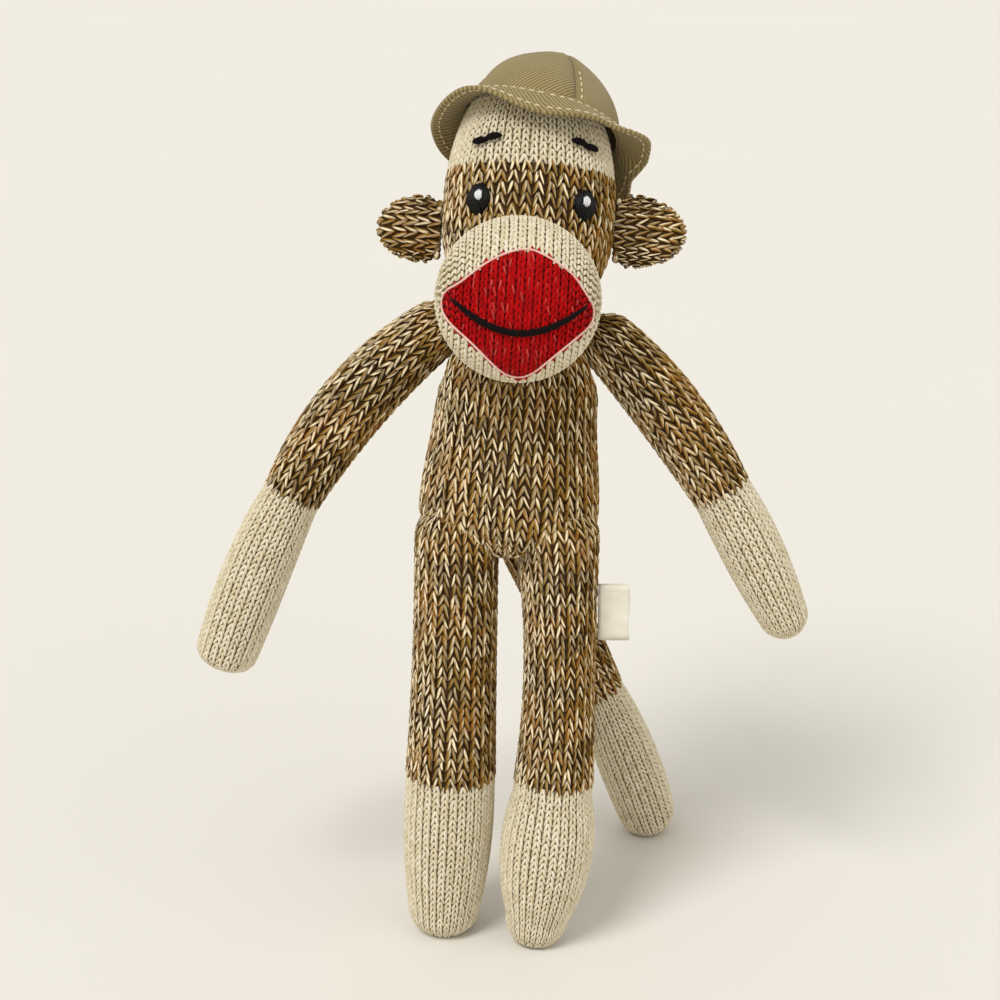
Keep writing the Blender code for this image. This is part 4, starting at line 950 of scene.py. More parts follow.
def in_chest(points):
    """Points that meet the torso at rest or as the head nods and turns."""
    caught = np.zeros(len(points), bool)
    for turned, nodded in ((0, 0), (0, NOD_DOWN), (HEAD_TURN, NOD_DOWN), (-HEAD_TURN, NOD_DOWN)):
        move = (
            Matrix.Translation(head_pivot) @ Matrix.Rotation(turned, 4, head_axis)
            @ Matrix.Rotation(nodded, 4, head_side) @ Matrix.Translation(-head_pivot)
        )
        grid = np.array(move)
        own = local(torso_place, points @ grid[:3, :3].T + grid[:3, 3])
        half = np.interp(own[:, 2], torso_heights, torso_widths, left=0, right=0) + CHEST_GAP
        caught |= (own[:, 0] ** 2 + (own[:, 1] / TORSO_DEPTH_SHARE) ** 2) < half**2
    return caught


def pouch_surface(place, ahead, down, side, sweep, back=1.0):
    """A rounded pocket: u goes from side to side, and t runs over its front from its top to its bottom.

    ahead, down and side are its half sizes as vectors, sweep is how far round it goes, in degrees, and
    back is how deep its rear half is as a share of its front half.
    """
    axes = [np.array(place.to_3x3() @ v) for v in (ahead, down, side)]
    centre = np.array(place.to_translation())
    long, deep, wide = (np.linalg.norm(a) for a in axes)
    angles = np.linspace(-math.radians(sweep), math.radians(sweep), 241)
    run = np.concatenate(
        [[0.0], np.cumsum(np.hypot(long * np.diff(np.cos(angles)), deep * np.diff(np.sin(angles))))]
    )
    sides = np.linspace(-np.pi / 2, np.pi / 2, 181)
    span = np.concatenate(
        [[0.0], np.cumsum(np.hypot(long * np.diff(np.cos(sides)), wide * np.diff(np.sin(sides))))]
    )

    def point(u, t):
        across = np.interp(np.asarray(u) * span[-1], span, sides)[..., None]
        round_it = np.interp(t, run, angles)[..., None]
        reach = np.cos(round_it) * np.where(np.cos(round_it) < 0, back, 1.0)
        front = reach * axes[0] + np.sin(round_it) * axes[1]
        return centre + np.cos(across) * front + np.sin(across) * axes[2]

    return SimpleNamespace(
        point=point,
        girth=lambda t: span[-1] * np.ones_like(np.asarray(t, float)),
        length=run[-1],
        span=span[-1],
        shrink=lambda u: np.cos(np.interp(u * span[-1], span, sides)),
    )


def pouch_places(surface, wales, course):
    """Stitches on a pouch, its columns in planes side by side, each with as many rows as fit."""
    places = []
    for i in range(wales):
        u = (i + 0.5) / wales
        rows = int(surface.length * surface.shrink(u) / course)
        if rows > 3:
            places.extend((u, (k + 0.5) / rows * surface.length, 1 / wales) for k in range(rows))
    return np.array(places)


muzzle_skin = pouch_surface(
    muzzle_place,
    Vector((0, -MUZZLE_DEPTH, 0)),
    Vector((0, 0, -MUZZLE_RADIUS)),
    Vector((-MUZZLE_RADIUS, 0, 0)),
    180.0,
    back=1.35,
)
LIP_OUTLINE = (
    (0.06, 0.51), (0.32, 0.41), (0.62, 0.24), (0.79, 0.02), (0.90, -0.10), (0.88, -0.30),
    (0.66, -0.52), (0.42, -0.74), (0.20, -0.93), (0.0, -0.97), (-0.20, -0.90), (-0.52, -0.62),
    (-0.81, -0.38), (-0.91, -0.20), (-0.89, -0.02), (-0.70, 0.06), (-0.52, 0.22), (-0.25, 0.40),
)
lip_line = [Vector(corner) * MUZZLE_RADIUS for corner in LIP_OUTLINE]
for _ in range(2):
    lip_line = [
        a.lerp(b, share) for a, b in zip(lip_line, lip_line[1:] + lip_line[:1]) for share in (0.25, 0.75)
    ]


def in_lips(points, grow=0.0):
    """Points on the muzzle's front that lie within the lips' outline."""
    own = local(muzzle_place, points)
    across, up = own[:, 0] / (1 + grow), own[:, 2] / (1 + grow)
    inside = np.zeros(len(points), bool)
    for a, b in zip(lip_line, lip_line[1:] + lip_line[:1]):
        spans = (a.y > up) != (b.y > up)
        run = b.y - a.y if abs(b.y - a.y) > 1e-9 else 1e-9
        inside ^= spans & (across < a.x + (up - a.y) / run * (b.x - a.x))
    return inside & (own[:, 1] < 0)


# Red wool blend: a strong plain red with a few paler fibres where the yarn's core shows.
red_yarn, tree, shader = new_material("red wool yarn")
split, tone, fibre_place = fibre_coords(tree, 9.0, 2.0)
fibre = add_node(tree, "TexNoise", {"Vector": fibre_place.outputs[0], "Scale": 1.0, "Detail": 3.0})
base = blend_colour(tree, tone.outputs["Fac"], "#990305", "#b60709")
fleck = random_share(tree, tone, 71.9)
chosen = add_node(
    tree, "MapRange", {"Value": fleck.outputs[0], "From Min": 0.66, "From Max": 0.95, "To Max": 0.2}
)
line = ply_band(tree, split, tone, 0.0, 0.06, 0.04)
pale = add_node(tree, "Math", {0: chosen.outputs[0], 1: line.outputs[0]}, operation="MULTIPLY")
base = blend_colour(tree, pale.outputs[0], base, "#f0a090")
finish_yarn(tree, shader, base, fibre.outputs["Fac"], 0.00025, 0.03)
# The red knit's backing: painted shade, a darker red for the gaps between the red stitches.
red_shadow = shaded_knit_back("red knit back in painted shade", 800.0, "#8a0406", "#ac080a")

# The red's stitches reach this share past the outline, under the pale edge
LIP_GROWTH = 0.025
MUZZLE_WALE = 0.0029
MUZZLE_WALES = round(muzzle_skin.span / MUZZLE_WALE)
MUZZLE_HEART = muzzle_place @ Vector((0, 0.004, 0.004))
places = pouch_places(muzzle_skin, MUZZLE_WALES, CREAM_COURSE)
# Under the lips the muzzle's backing takes the red painted shade instead of the cream one.
muzzle = knit(
    "muzzle_knit", muzzle_skin, places, FINE_STITCH, CREAM_COURSE, cream_yarn, cream_shadow,
    blocked=in_chest, keep=lambda points: ~in_head(points) & ~in_lips(points, LIP_GROWTH),
    pull_to=MUZZLE_HEART, seed=91, backing_grid=(72, 120),
    backing_patch=lambda points: in_lips(points, 0.01),
)
muzzle.data.materials.append(red_shadow)
lips = knit(
    "lips_knit", muzzle_skin, places, FINE_STITCH, CREAM_COURSE, red_yarn, red_shadow,
    blocked=in_chest, keep=lambda points: in_lips(points, LIP_GROWTH), pull_to=MUZZLE_HEART, seed=92,
    backing_grid=(72, 72), backing_keep=in_lips,
    backing_span=(0.25 * muzzle_skin.length, 0.75 * muzzle_skin.length),
)
for piece, slot, nodes in (
    (muzzle, "knit_cream", ("muzzle_cover", "muzzle_stuffing")),
    (lips, "knit_red", ("lips",)),
):
    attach(piece, "head")
    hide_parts(*nodes)


def on_muzzle(across, up, lift):
    """A place on the muzzle's front, from shares of its radius across and up, lifted off the skin."""
    ahead = math.sqrt(max(0.0, 1 - across**2 - up**2))
    spot = Vector((across * MUZZLE_RADIUS, -ahead * MUZZLE_DEPTH, up * MUZZLE_RADIUS))
    normal = Vector((across / MUZZLE_RADIUS, -ahead / MUZZLE_DEPTH, up / MUZZLE_RADIUS)).normalized()
    return muzzle_place @ (spot + normal * lift)


def thread(name, points, radii, finish, closed=False):
    """A thread through its points, thick as its radii say, with closed ends."""
    curve = bpy.data.curves.new(name, "CURVE")
    curve.dimensions = "3D"
    curve.use_fill_caps = not closed
    curve.bevel_depth = 1.0
    curve.bevel_resolution = 3
    spline = curve.splines.new("POLY")
    spline.points.add(len(points) - 1)
    spline.use_cyclic_u = closed
    for spot, place, radius in zip(spline.points, points, radii):
        spot.co = (*place, 1)
        spot.radius = radius
    holder = bpy.data.objects.new(name, curve)
    scene.collection.objects.link(holder)
    graph = bpy.context.evaluated_depsgraph_get()
    bm = bmesh.new()
    bm.from_mesh(bpy.data.meshes.new_from_object(holder.evaluated_get(graph)))
    bpy.data.objects.remove(holder)
    return new_piece(name, bm, finish)


lip_thread, tree, shader = new_material("pale pink wool edge")
coords = add_node(tree, "TexCoord")
fuzz = add_node(tree, "TexNoise", {"Vector": coords.outputs["Object"], "Scale": 900.0, "Detail": 3.0})
colour = blend_colour(tree, fuzz.outputs["Fac"], "#d98c80", "#f6e3d6")
finish_yarn(tree, shader, colour, fuzz.outputs["Fac"], 0.0002, 0.2)
LIP_EDGE_RADIUS = 0.00034
LIP_EDGE_LIFT = 0.0002
edge_points = []
for a, b in zip(lip_line, lip_line[1:] + lip_line[:1]):
    for share in (0.0, 0.34, 0.67):
        spot = a.lerp(b, share) / MUZZLE_RADIUS
        place = on_muzzle(spot.x, spot.y, LIP_EDGE_LIFT)
        if not edge_points or (edge_points[-1] - place).length > 0.0004:
            edge_points.append(place)
radii = [LIP_EDGE_RADIUS] * len(edge_points)
lip_edge = thread("lip_edge_thread", edge_points, radii, lip_thread, closed=True)
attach(lip_edge, "head")

# Mouth: one length of black yarn couched over the lips in a wide smile, thinner at its ends.
black_yarn, tree, shader = new_material("black wool yarn")
coords = add_node(tree, "TexCoord")
fuzz = add_node(tree, "TexNoise", {"Vector": coords.outputs["Object"], "Scale": 1100.0, "Detail": 3.0})
colour = blend_colour(tree, fuzz.outputs["Fac"], "#040303", "#1a1111")
finish_yarn(tree, shader, colour, fuzz.outputs["Fac"], 0.0003, 0.02)
MOUTH_RADIUS = 0.0011
MOUTH_HALF_WIDTH = 0.80
mouth_points, mouth_radii = [], []
for i in range(41):
    across = 2 * i / 40 - 1
    up = -0.10 - 0.40 * (1 - across**2)
    mouth_points.append(on_muzzle(MOUTH_HALF_WIDTH * across, up, 0.0003))
    mouth_radii.append(MOUTH_RADIUS * (0.25 + 0.75 * (1 - abs(across) ** 5)) * (1 + 0.10 * math.sin(i * 2.1)))
mouth = thread("mouth_yarn", mouth_points, mouth_radii, black_yarn)
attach(mouth, "head")
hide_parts("mouth_thread")

# Eyes: padded satin stitch in glossy black thread, with a few white stitches as a catch-light.
# Brows: two thick stitches of black yarn each.
EYE_RISE = 0.0358
EYE_SIZE = (0.0043, 0.0049, 0.0022)
BROW_RISE = 0.0555

# Mercerised embroidery cotton: the only shiny thread on the doll, shiniest across its strands.
black_satin, tree, shader = new_material("black embroidery cotton")
split, tone, fibre_place = fibre_coords(tree, 6.0, 5.0)
fibre = add_node(tree, "TexNoise", {"Vector": fibre_place.outputs[0], "Scale": 1.0, "Detail": 2.0})
colour = blend_colour(tree, fibre.outputs["Fac"], "#020202", "#0d0b0d")
finish_yarn(tree, shader, colour, fibre.outputs["Fac"], 0.00008, 0.0)
shader.inputs["Roughness"].default_value = 0.5
shader.inputs["Specular IOR Level"].default_value = 0.22
white_satin, tree, shader = new_material("white embroidery cotton")
split, tone, fibre_place = fibre_coords(tree, 6.0, 5.0)
fibre = add_node(tree, "TexNoise", {"Vector": fibre_place.outputs[0], "Scale": 1.0, "Detail": 2.0})
colour = blend_colour(tree, fibre.outputs["Fac"], "#b9bcc4", "#ffffff")
finish_yarn(tree, shader, colour, fibre.outputs["Fac"], 0.00008, 0.1)
shader.inputs["Roughness"].default_value = 0.45


def head_half_width(rise):
    """The head's half width at a height above its cheeks."""
    widths, heights = np.array(head_outline).T
    return float(np.interp(rise, heights, widths))


def face_frame(rise, azimuth):
    """A place on the face, its Z axis off the surface and its Y axis up the head."""
    width = head_half_width(rise)
    angle = math.radians(azimuth)
    spot = Vector((width * math.sin(angle), -width * HEAD_DEPTH_SHARE * math.cos(angle), rise))
    slope = max(0.0, rise - HEAD_BROW_RISE) / (HEAD_HEIGHT - HEAD_BROW_RISE) ** 2
    normal = Vector(
        (spot.x / HEAD_HALF_WIDTH**2, spot.y / (HEAD_HALF_WIDTH * HEAD_DEPTH_SHARE) ** 2, slope)
    ).normalized()
    across = UP.cross(normal).normalized()
    turn = Matrix((across, normal.cross(across), normal)).transposed().to_4x4()
    return head_place @ Matrix.Translation(spot) @ turn


def strands(name, finish, place, spans, half_width, half_thickness, seed):
    """Straight stitches side by side. Each span is (start, end, lift, arch) in a place."""
    mesh, unit = laid_beads(full_bead, len(spans), seed)
    spots = []
    for shape, (start, end, lift, arch) in zip(unit, spans):
        start, end = np.array(start), np.array(end)
        run = end - start
        sideways = np.array([-run[1], run[0]]) / np.linalg.norm(run)
        flat = (start + end) / 2 + shape[:, 1:2] * run / 2 + shape[:, :1] * half_width * sideways
        height = lift + arch * (1 - shape[:, 1] ** 2) + shape[:, 2] * half_thickness
        spots.append(np.column_stack([flat, height]))
    return placed_beads(name, mesh, np.vstack(spots), place, finish)


def placed_beads(name, mesh, spots, place, finish):
    """An object from beads whose points are given in a place."""
    grid = np.array(place)
    mesh.vertices.foreach_set("co", (spots @ grid[:3, :3].T + grid[:3, 3]).ravel())
    mesh.shade_smooth()
    mesh.materials.append(finish)
    piece = bpy.data.objects.new(name, mesh)
    scene.collection.objects.link(piece)
    return piece


GLINT_UP = 0.0009
for side, word, azimuth, brow_azimuth, glint_in in (
    (RIGHT, "right", 36.5, 33.5, 0.0014), (LEFT, "left", 37.5, 36.5, -0.0009)
):
    rng = np.random.default_rng(100 + side)
    place = face_frame(EYE_RISE, side * azimuth)
    half_width, half_height, half_thickness = EYE_SIZE
    spans = []
    for i in range(19):
        share = -0.96 + 1.92 * i / 18
        reach = half_height * math.sqrt(1 - share * share) * (1.06 + rng.normal(0, 0.05)) + 0.0003
        x = share * half_width
        arch = half_thickness * math.sqrt(1 - share * share)
        spans.append(((x + rng.normal(0, 0.0001), -reach), (x, reach), -0.0002, arch))
    eye = strands(f"{word}_eye_stitches", black_satin, place, spans, 0.00042, 0.0006, 110 + side)
    spans = [
        ((x + glint_in, GLINT_UP - reach), (x + glint_in, GLINT_UP + reach), half_thickness + 0.0001, 0.0004)
        for x, reach in ((-0.0010, 0.0013), (-0.0004, 0.0018), (0.0003, 0.0019), (0.0009, 0.0014))
    ]
    glint = strands(f"{word}_eye_glint_stitches", white_satin, place, spans, 0.00045, 0.0004, 120 + side)
    brow_place = face_frame(BROW_RISE, side * brow_azimuth)
    spans = [
        ((-side * a[0], a[1]), (-side * b[0], b[1]), 0.0009, 0.0006)
        for a, b in (((-0.0056, -0.0009), (0.0006, -0.0004)), ((-0.0010, 0.0003), (0.0054, 0.0008)))
    ]
    brow = strands(f"{word}_brow_stitches", black_yarn, brow_place, spans, 0.00135, 0.0010, 130 + side)
    for piece, node, slot in (
        (eye, f"{word}_eye", "thread_black"),
        (glint, f"{word}_eye_glint", "thread_white"),
        (brow, f"{word}_brow", "thread_black"),
    ):
        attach(piece, "head")
        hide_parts(node)

# Ears: flat pouches of the brown sock with their stitch columns lying outward, sewn on at their root.
EAR_HINGE_GAP = 0.0016
EAR_ROOT_DEPTH = 0.0045
EAR_HALF_THICKNESS = 0.0032
for side, word, reach, half_height in ((RIGHT, "right", 0.0170, 0.0116), (LEFT, "left", 0.0198, 0.0125)):
    hinge = head_place.inverted() @ JOINT_AT[f"{word}_ear_fold"]
    middle = hinge + Vector((side * (EAR_ROOT_DEPTH - EAR_HINGE_GAP + SEAT_GAP), 0, 0))
    ear_skin = pouch_surface(
        head_place @ Matrix.Translation(middle),
        Vector((side * reach, 0, 0)),
        Vector((0, EAR_HALF_THICKNESS, 0)),
        Vector((0, 0, -side * half_height)),
        105.0,
    )
    wales = round(ear_skin.span / MARL_WALE)
    ear = knit(
        f"{word}_ear_knit", ear_skin, pouch_places(ear_skin, wales, MARL_COURSE), MARL_STITCH, MARL_COURSE,
        marl_yarn, marl_shadow, seed=140 + side, backing_grid=(24, 48),
    )
    seam_spans = [
        ((0.0003 * (-1) ** k, y - 0.0015), (-0.0003 * (-1) ** k, y + 0.0015), 0.0, 0.0)
        for k, y in enumerate(np.arange(-half_height + 0.0030, half_height - 0.0024, 0.0019))
    ]
    seam_turn = Matrix.Rotation(math.pi / 2, 4, "X")
    seam_place = head_place @ Matrix.Translation(hinge - Vector((side * 0.0002, 0, 0))) @ seam_turn
    seam = strands(f"{word}_ear_seam_stitches", marl_yarn, seam_place, seam_spans, 0.0014, 0.0019, 145 + side)
    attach(seam, "head")
    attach(ear, f"{word}_ear")
    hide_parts(f"{word}_ear")

# Hat crown: four gores of cotton twill seamed into a soft dome that sits back on the head.
# The cloth sinks into each seam and puckers a little beside it.
HAT_HALF_WIDTH = 0.0268
HAT_DEPTH_SHARE = 0.95
HAT_CROWN_HEIGHT = 0.0275
HAT_CROWN_FULLNESS = 0.80
HAT_SEAM_AZIMUTH = 20.0
HAT_CLOTH = 0.0011
hat_place = (
    head_place
    @ Matrix.Translation((0.0026, 0.0020, HEAD_HEIGHT - 0.0205))
    @ Matrix.Rotation(math.radians(10), 4, "Y")
    @ Matrix.Rotation(math.radians(-13), 4, "X")
)

# Khaki cotton twill, washed: diagonal ribs, drawn 1.1 mm apart so that they show, with paler
# tops and a faded unevenness.
twill, tree, shader = new_material("washed khaki cotton twill")
cloth = add_node(tree, "UVMap", uv_map="cloth")
RIB_SLOPE = math.radians(40)
RIB_SPACING = 0.0011
turned = add_node(tree, "Mapping", {"Vector": cloth.outputs["UV"], "Rotation": (0, 0, RIB_SLOPE)})
ribs = add_node(
    tree, "TexWave",
    {"Vector": turned.outputs["Vector"], "Scale": 2 * math.pi / (20 * RIB_SPACING), "Distortion": 0.6,
     "Detail": 2.0, "Detail Scale": 3.0},
    bands_direction="X",
)
weave = add_node(tree, "TexNoise", {"Vector": cloth.outputs["UV"], "Scale": 1500.0, "Detail": 2.0})
fade = add_node(tree, "TexNoise", {"Vector": cloth.outputs["UV"], "Scale": 90.0, "Detail": 3.0})
base = blend_colour(tree, fade.outputs["Fac"], "#695832", "#86764b")
shade = add_node(
    tree, "MapRange", {"Value": ribs.outputs["Fac"], "From Min": 0.1, "From Max": 0.9, "To Max": 0.8}
)
base = blend_colour(tree, shade.outputs[0], base, "#ae9d6c")
speck = add_node(
    tree, "MapRange", {"Value": weave.outputs["Fac"], "From Min": 0.5, "From Max": 0.8, "To Max": 0.3}
)
base = blend_colour(tree, speck.outputs[0], base, "#54472a")
relief = add_node(
    tree, "Math", {0: weave.outputs["Fac"], 1: 0.4, 2: ribs.outputs["Fac"]}, operation="MULTIPLY_ADD"
)
bump = add_node(tree, "Bump", {"Height": relief.outputs[0], "Distance": 0.00022, "Strength": 0.8})
tree.links.new(base, shader.inputs["Base Color"])
tree.links.new(bump.outputs["Normal"], shader.inputs["Normal"])
shader.inputs["Roughness"].default_value = 0.88
shader.inputs["Specular IOR Level"].default_value = 0.25
shader.inputs["Sheen Weight"].default_value = 0.15

crown_outline = [(HAT_HALF_WIDTH, 0.0)]
crown_outline += eased_quarter(crown_outline[0], (0.0, HAT_CROWN_HEIGHT), False, HAT_CROWN_FULLNESS, 22)
crown_steps = np.linalg.norm(np.diff(np.array(crown_outline), axis=0), axis=1)
crown_run = np.concatenate([[0.0], np.cumsum(crown_steps)])
GORE_STEPS = 30


def crown_wrinkle(turn, rise_share):
    """How far the cloth stands out from a smooth dome, at a turn in degrees and a share of its height."""
    from_seam = abs((turn - HAT_SEAM_AZIMUTH + 90.0 + 45.0) % 90.0 - 45.0)
    seam = -0.0009 * math.exp(-((from_seam / 4.0) ** 2))
    beside = 0.0004 * math.exp(-(((from_seam - 11.0) / 6.0) ** 2))
    creases = 0.0006 * math.sin(math.radians(turn * 3) + 5 * rise_share) * math.sin(math.pi * rise_share)
    return seam + beside + creases


for i, word in enumerate(("front_left", "back_left", "back_right", "front_right")):
    start = HAT_SEAM_AZIMUTH - 90.0 + 90.0 * i
    bm = bmesh.new()
    rail = [bm.verts.new((radius, 0, height)) for radius, height in crown_outline]
    edges = [bm.edges.new(pair) for pair in zip(rail, rail[1:])]
    bmesh.ops.spin(
        bm, geom=rail + edges, cent=(0, 0, 0), axis=(0, 0, 1), angle=math.pi / 2, steps=GORE_STEPS
    )
    bmesh.ops.rotate(bm, cent=(0, 0, 0), matrix=Matrix.Rotation(math.radians(start), 3, "Z"), verts=bm.verts)
    cloth_map = bm.loops.layers.uv.new("cloth")
    for face in bm.faces:
        for loop in face.loops:
            spot = loop.vert.co
            turn = math.degrees(math.atan2(spot.y, spot.x)) - start
            turn = (turn + 180) % 360 - 180
            run = float(np.interp(spot.z, [h for _, h in crown_outline], crown_run))
            across = math.radians(turn - 45) * math.hypot(spot.x, spot.y)
            loop[cloth_map].uv = (across * (1 if i % 2 else -1) + 0.05 * i, run)
    for vert in bm.verts:
        flat = Vector((vert.co.x, vert.co.y, 0))
        turn = math.degrees(math.atan2(vert.co.y, vert.co.x))
        out = crown_wrinkle(turn, vert.co.z / HAT_CROWN_HEIGHT)
        push = Vector((flat.x, flat.y, 0)).normalized() if flat.length > 1e-6 else Vector()
        vert.co += push * out * min(1.0, flat.length / 0.006)
        vert.co.y *= HAT_DEPTH_SHARE
    gore = new_piece(f"hat_gore_{word}_cloth", bm, twill, hat_place)
    wall = gore.modifiers.new("cloth", "SOLIDIFY")
    wall.thickness = HAT_CLOTH
    wall.offset = -1
    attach(gore, "hat")
    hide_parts(f"hat_gore_{word}")

# Hat brim: a doubled band of the same twill, topstitched and wavy, turned up at the doll's right and
# folded at its left.
BRIM_EDGE = (
    (0, 0.0060, 0.0095), (40, 0.0070, 0.0045), (72, 0.0116, 0.0016), (86, 0.0108, 0.0036),
    (98, 0.0076, 0.0086), (116, 0.0106, 0.0122), (180, 0.0060, 0.0130), (230, 0.0080, 0.0105),
    (270, 0.0095, 0.0085), (312, 0.0105, 0.0042),
)
BRIM_STEPS = 144
BRIM_RINGS = 10
BRIM_CURL = 1.2
BRIM_TUCK = 0.0003
BRIM_CLOTH = 0.0013


def brim_edge(azimuth):
    """Reach and drop of the brim's edge at an azimuth, eased between the given ones."""
    rows = [*BRIM_EDGE, (BRIM_EDGE[0][0] + 360, *BRIM_EDGE[0][1:])]
    for low, high in zip(rows, rows[1:]):
        if low[0] <= azimuth % 360 <= high[0]:
            share = (azimuth % 360 - low[0]) / (high[0] - low[0])
            ease = share * share * (3 - 2 * share)
            return [a + (b - a) * ease for a, b in zip(low[1:], high[1:])]


def on_brim(azimuth, out):
    """A place on the brim, in the hat's own place: out runs from its seam to its edge."""
    reach, drop = brim_edge(azimuth)
    angle = math.radians(azimuth)
    radius = HAT_HALF_WIDTH - BRIM_TUCK + (reach + BRIM_TUCK) * out
    ripple = 0.0004 * math.sin(math.radians(azimuth * 7)) * out
    height = 4 * BRIM_TUCK * (1 - out) ** 2 - drop * out**BRIM_CURL + ripple
    return Vector((radius * math.sin(angle), -radius * HAT_DEPTH_SHARE * math.cos(angle), height))


bm = bmesh.new()
bmesh.ops.create_grid(bm, x_segments=BRIM_STEPS, y_segments=BRIM_RINGS, size=0.5)
cloth_map = bm.loops.layers.uv.new("cloth")
for face in bm.faces:
    for loop in face.loops:
        spot = loop.vert.co
        loop[cloth_map].uv = ((spot.x + 0.5) * 2 * math.pi * HAT_HALF_WIDTH, (spot.y + 0.5) * 0.010 + 0.2)
for vert in bm.verts:
    vert.co = on_brim((vert.co.x + 0.5) * 360, vert.co.y + 0.5)
brim = new_piece("hat_brim_cloth", bm, twill, hat_place)
wall = brim.modifiers.new("cloth", "SOLIDIFY")
wall.thickness = BRIM_CLOTH
wall.offset = -1
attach(brim, "hat")
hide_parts("hat_brim")

# Topstitching on the brim and along the front seam: pale cotton thread in short straight stitches.
stitch_cotton, tree, shader = new_material("pale topstitching cotton")
coords = add_node(tree, "TexCoord")
fuzz = add_node(tree, "TexNoise", {"Vector": coords.outputs["Object"], "Scale": 1500.0, "Detail": 2.0})
colour = blend_colour(tree, fuzz.outputs["Fac"], "#c6b283", "#eadfb9")
finish_yarn(tree, shader, colour, fuzz.outputs["Fac"], 0.0001, 0.1)
STITCH_STEP = 0.0031
STITCH_LENGTH = 0.0022
STITCH_RADIUS = 0.00032


def dashes(name, line, off):
    """Short stitches along a line of (place, outward direction), lying on its cloth."""
    places = [p for p, _ in line]
    run = np.concatenate([[0.0], np.cumsum([(b - a).length for a, b in zip(places, places[1:])])])
    grid = np.array([tuple(p) for p in places])
    outs = np.array([tuple(n) for _, n in line])
    starts = np.arange(0.0005, run[-1] - STITCH_LENGTH, STITCH_STEP)
    mesh, unit = laid_beads(small_bead, len(starts), 150)
    spots = []
    for shape, start in zip(unit, starts):
        at = start + (shape[:, 1] + 1) / 2 * STITCH_LENGTH
        spot = np.stack([np.interp(at, run, grid[:, k]) for k in range(3)], -1)
        normal = np.stack([np.interp(start, run, outs[:, k]) for k in range(3)], -1)
        normal /= np.linalg.norm(normal)
        nearest = int(np.searchsorted(run, start))
        aim = grid[min(len(grid) - 1, nearest + 1)] - grid[max(0, nearest - 1)]
        sideways = np.cross(aim / np.linalg.norm(aim), normal)
        spots.append(
            spot + shape[:, :1] * STITCH_RADIUS * sideways + (shape[:, 2:3] * STITCH_RADIUS + off) * normal
        )
    piece = placed_beads(name, mesh, np.vstack(spots), hat_place, stitch_cotton)
    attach(piece, "hat")


def brim_line(out):
    """Places and outward directions all round the brim at one share of its width."""
    line = []
    for azimuth in np.linspace(0, 360, 160):
        spot = on_brim(azimuth, out)
        across = on_brim(azimuth + 1, out) - on_brim(azimuth - 1, out)
        outer = on_brim(azimuth, min(1.0, out + 0.05)) - on_brim(azimuth, out - 0.05)
        line.append((spot, outer.cross(across).normalized()))
    return line


THREAD_PROUD = 0.0001
for name, out, off in (
    ("brim_outer_topstitch", 0.82, THREAD_PROUD),
    ("brim_inner_topstitch", 0.22, THREAD_PROUD),
    ("brim_under_topstitch", 0.82, -BRIM_CLOTH - THREAD_PROUD),
):
    dashes(name, brim_line(out), off)
seam_line = []
for rise in np.linspace(0.0012, 0.6 * HAT_CROWN_HEIGHT, 30):
    radius = float(np.interp(rise, [h for _, h in crown_outline], [r for r, _ in crown_outline]))
    turn = math.radians(HAT_SEAM_AZIMUTH - 90.0 + 4.2)
    out = Vector((math.cos(turn), math.sin(turn), 0.35)).normalized()
    place = radius + crown_wrinkle(math.degrees(turn), rise / HAT_CROWN_HEIGHT)
    seam_line.append((Vector((place * math.cos(turn), place * math.sin(turn) * HAT_DEPTH_SHARE, rise)), out))
dashes("crown_seam_topstitch", seam_line, 2 * THREAD_PROUD)

# Label: a blank ribbon of white satin, folded once and caught in the left leg's outer seam.
satin, tree, shader = new_material("white satin ribbon")
cloth = add_node(tree, "UVMap", uv_map="cloth")
SATIN_THREAD_SPACING = 0.0004
threads = add_node(
    tree, "TexWave",
    {"Vector": cloth.outputs["UV"], "Scale": 2 * math.pi / (20 * SATIN_THREAD_SPACING), "Distortion": 0.4},
    bands_direction="Y",
)
cloudy = add_node(tree, "TexNoise", {"Vector": cloth.outputs["UV"], "Scale": 260.0, "Detail": 2.0})
base = blend_colour(tree, cloudy.outputs["Fac"], "#d9d2bd", "#f4f0e2")
bump = add_node(tree, "Bump", {"Height": threads.outputs["Fac"], "Distance": 0.00004, "Strength": 0.5})
tree.links.new(base, shader.inputs["Base Color"])
tree.links.new(bump.outputs["Normal"], shader.inputs["Normal"])
shader.inputs["Roughness"].default_value = 0.42
shader.inputs["Sheen Weight"].default_value = 0.2

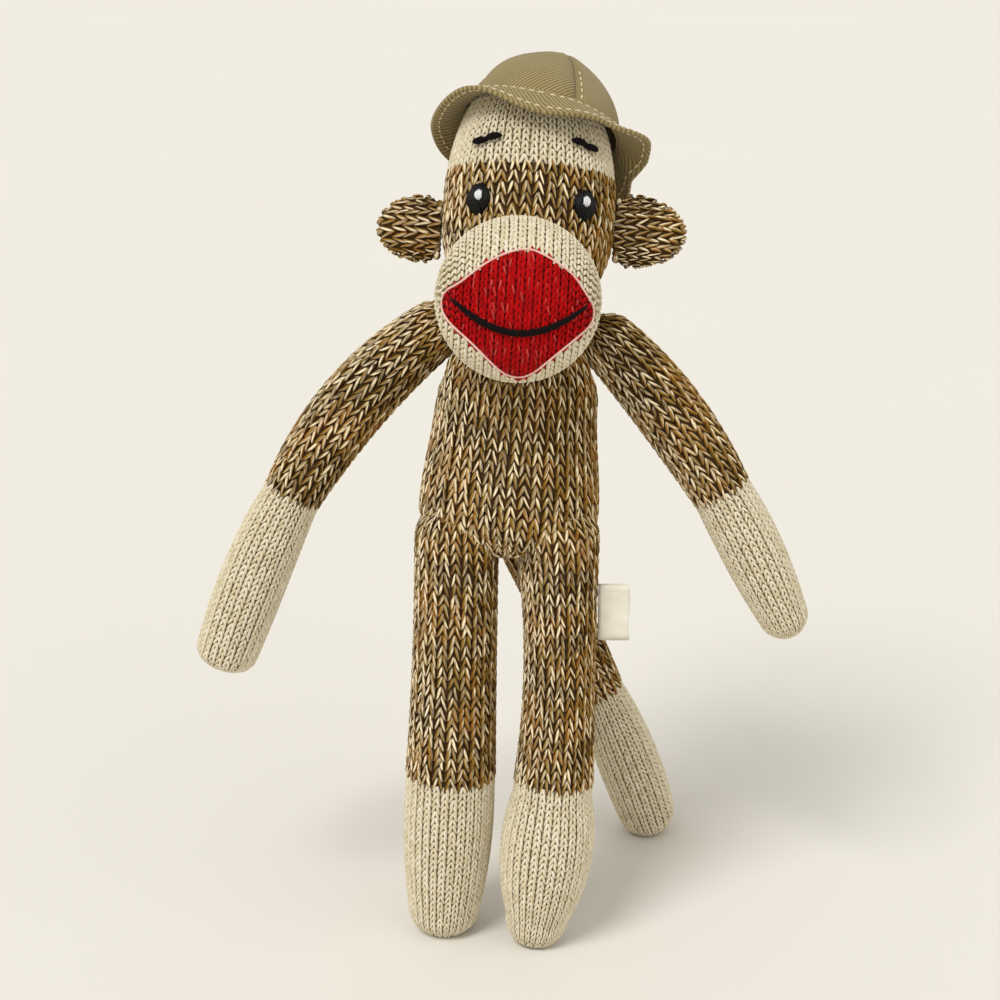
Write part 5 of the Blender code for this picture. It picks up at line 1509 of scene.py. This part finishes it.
LABEL_HEIGHT = 0.0200
LABEL_REACH = 0.0105
LABEL_HALF_GAP = 0.0005
LABEL_CLOTH = 0.0003
label_root = JOINT_AT["label_flap"]
bm = bmesh.new()
leaf = [(0.0, LABEL_HALF_GAP)]
leaf += [
    (LABEL_REACH * s, LABEL_HALF_GAP * (1 + 0.5 * math.sin(math.pi * s))) for s in np.linspace(0.12, 0.92, 8)
]
bend = [
    (LABEL_REACH * 0.95 + LABEL_HALF_GAP * math.sin(a), LABEL_HALF_GAP * math.cos(a))
    for a in np.linspace(0.3, math.pi - 0.3, 7)
]
fold = leaf + bend + [(x, -y) for x, y in reversed(leaf)]
rail = [bm.verts.new((x, y, -LABEL_HEIGHT / 2)) for x, y in fold]
edges = [bm.edges.new(pair) for pair in zip(rail, rail[1:])]
LABEL_ROWS = 10
for _ in range(LABEL_ROWS):
    grown = bmesh.ops.extrude_edge_only(bm, edges=edges)["geom"]
    corners = [v for v in grown if isinstance(v, bmesh.types.BMVert)]
    bmesh.ops.translate(bm, vec=(0, 0, LABEL_HEIGHT / LABEL_ROWS), verts=corners)
    edges = [e for e in grown if isinstance(e, bmesh.types.BMEdge)]
cloth_map = bm.loops.layers.uv.new("cloth")
fold_run = np.concatenate([[0.0], np.cumsum(np.linalg.norm(np.diff(np.array(fold), axis=0), axis=1))])
for face in bm.faces:
    for loop in face.loops:
        spot = loop.vert.co
        nearest = int(np.argmin([(spot.x - x) ** 2 + (spot.y - y) ** 2 for x, y in fold]))
        loop[cloth_map].uv = (float(fold_run[nearest]), spot.z)
for vert in bm.verts:
    share = vert.co.x / LABEL_REACH
    vert.co.y += 0.0005 * math.sin(vert.co.z * 320 + 0.6) * share
    vert.co.x += 0.0003 * math.sin(vert.co.z * 410) * share
label = new_piece("label_ribbon", bm, satin, Matrix.Translation(label_root))
wall = label.modifiers.new("ribbon", "SOLIDIFY")
wall.thickness = LABEL_CLOTH
wall.offset = 0
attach(label, "label")
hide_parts("label")

for spare in (full_bead, small_bead):
    bpy.data.meshes.remove(spare)
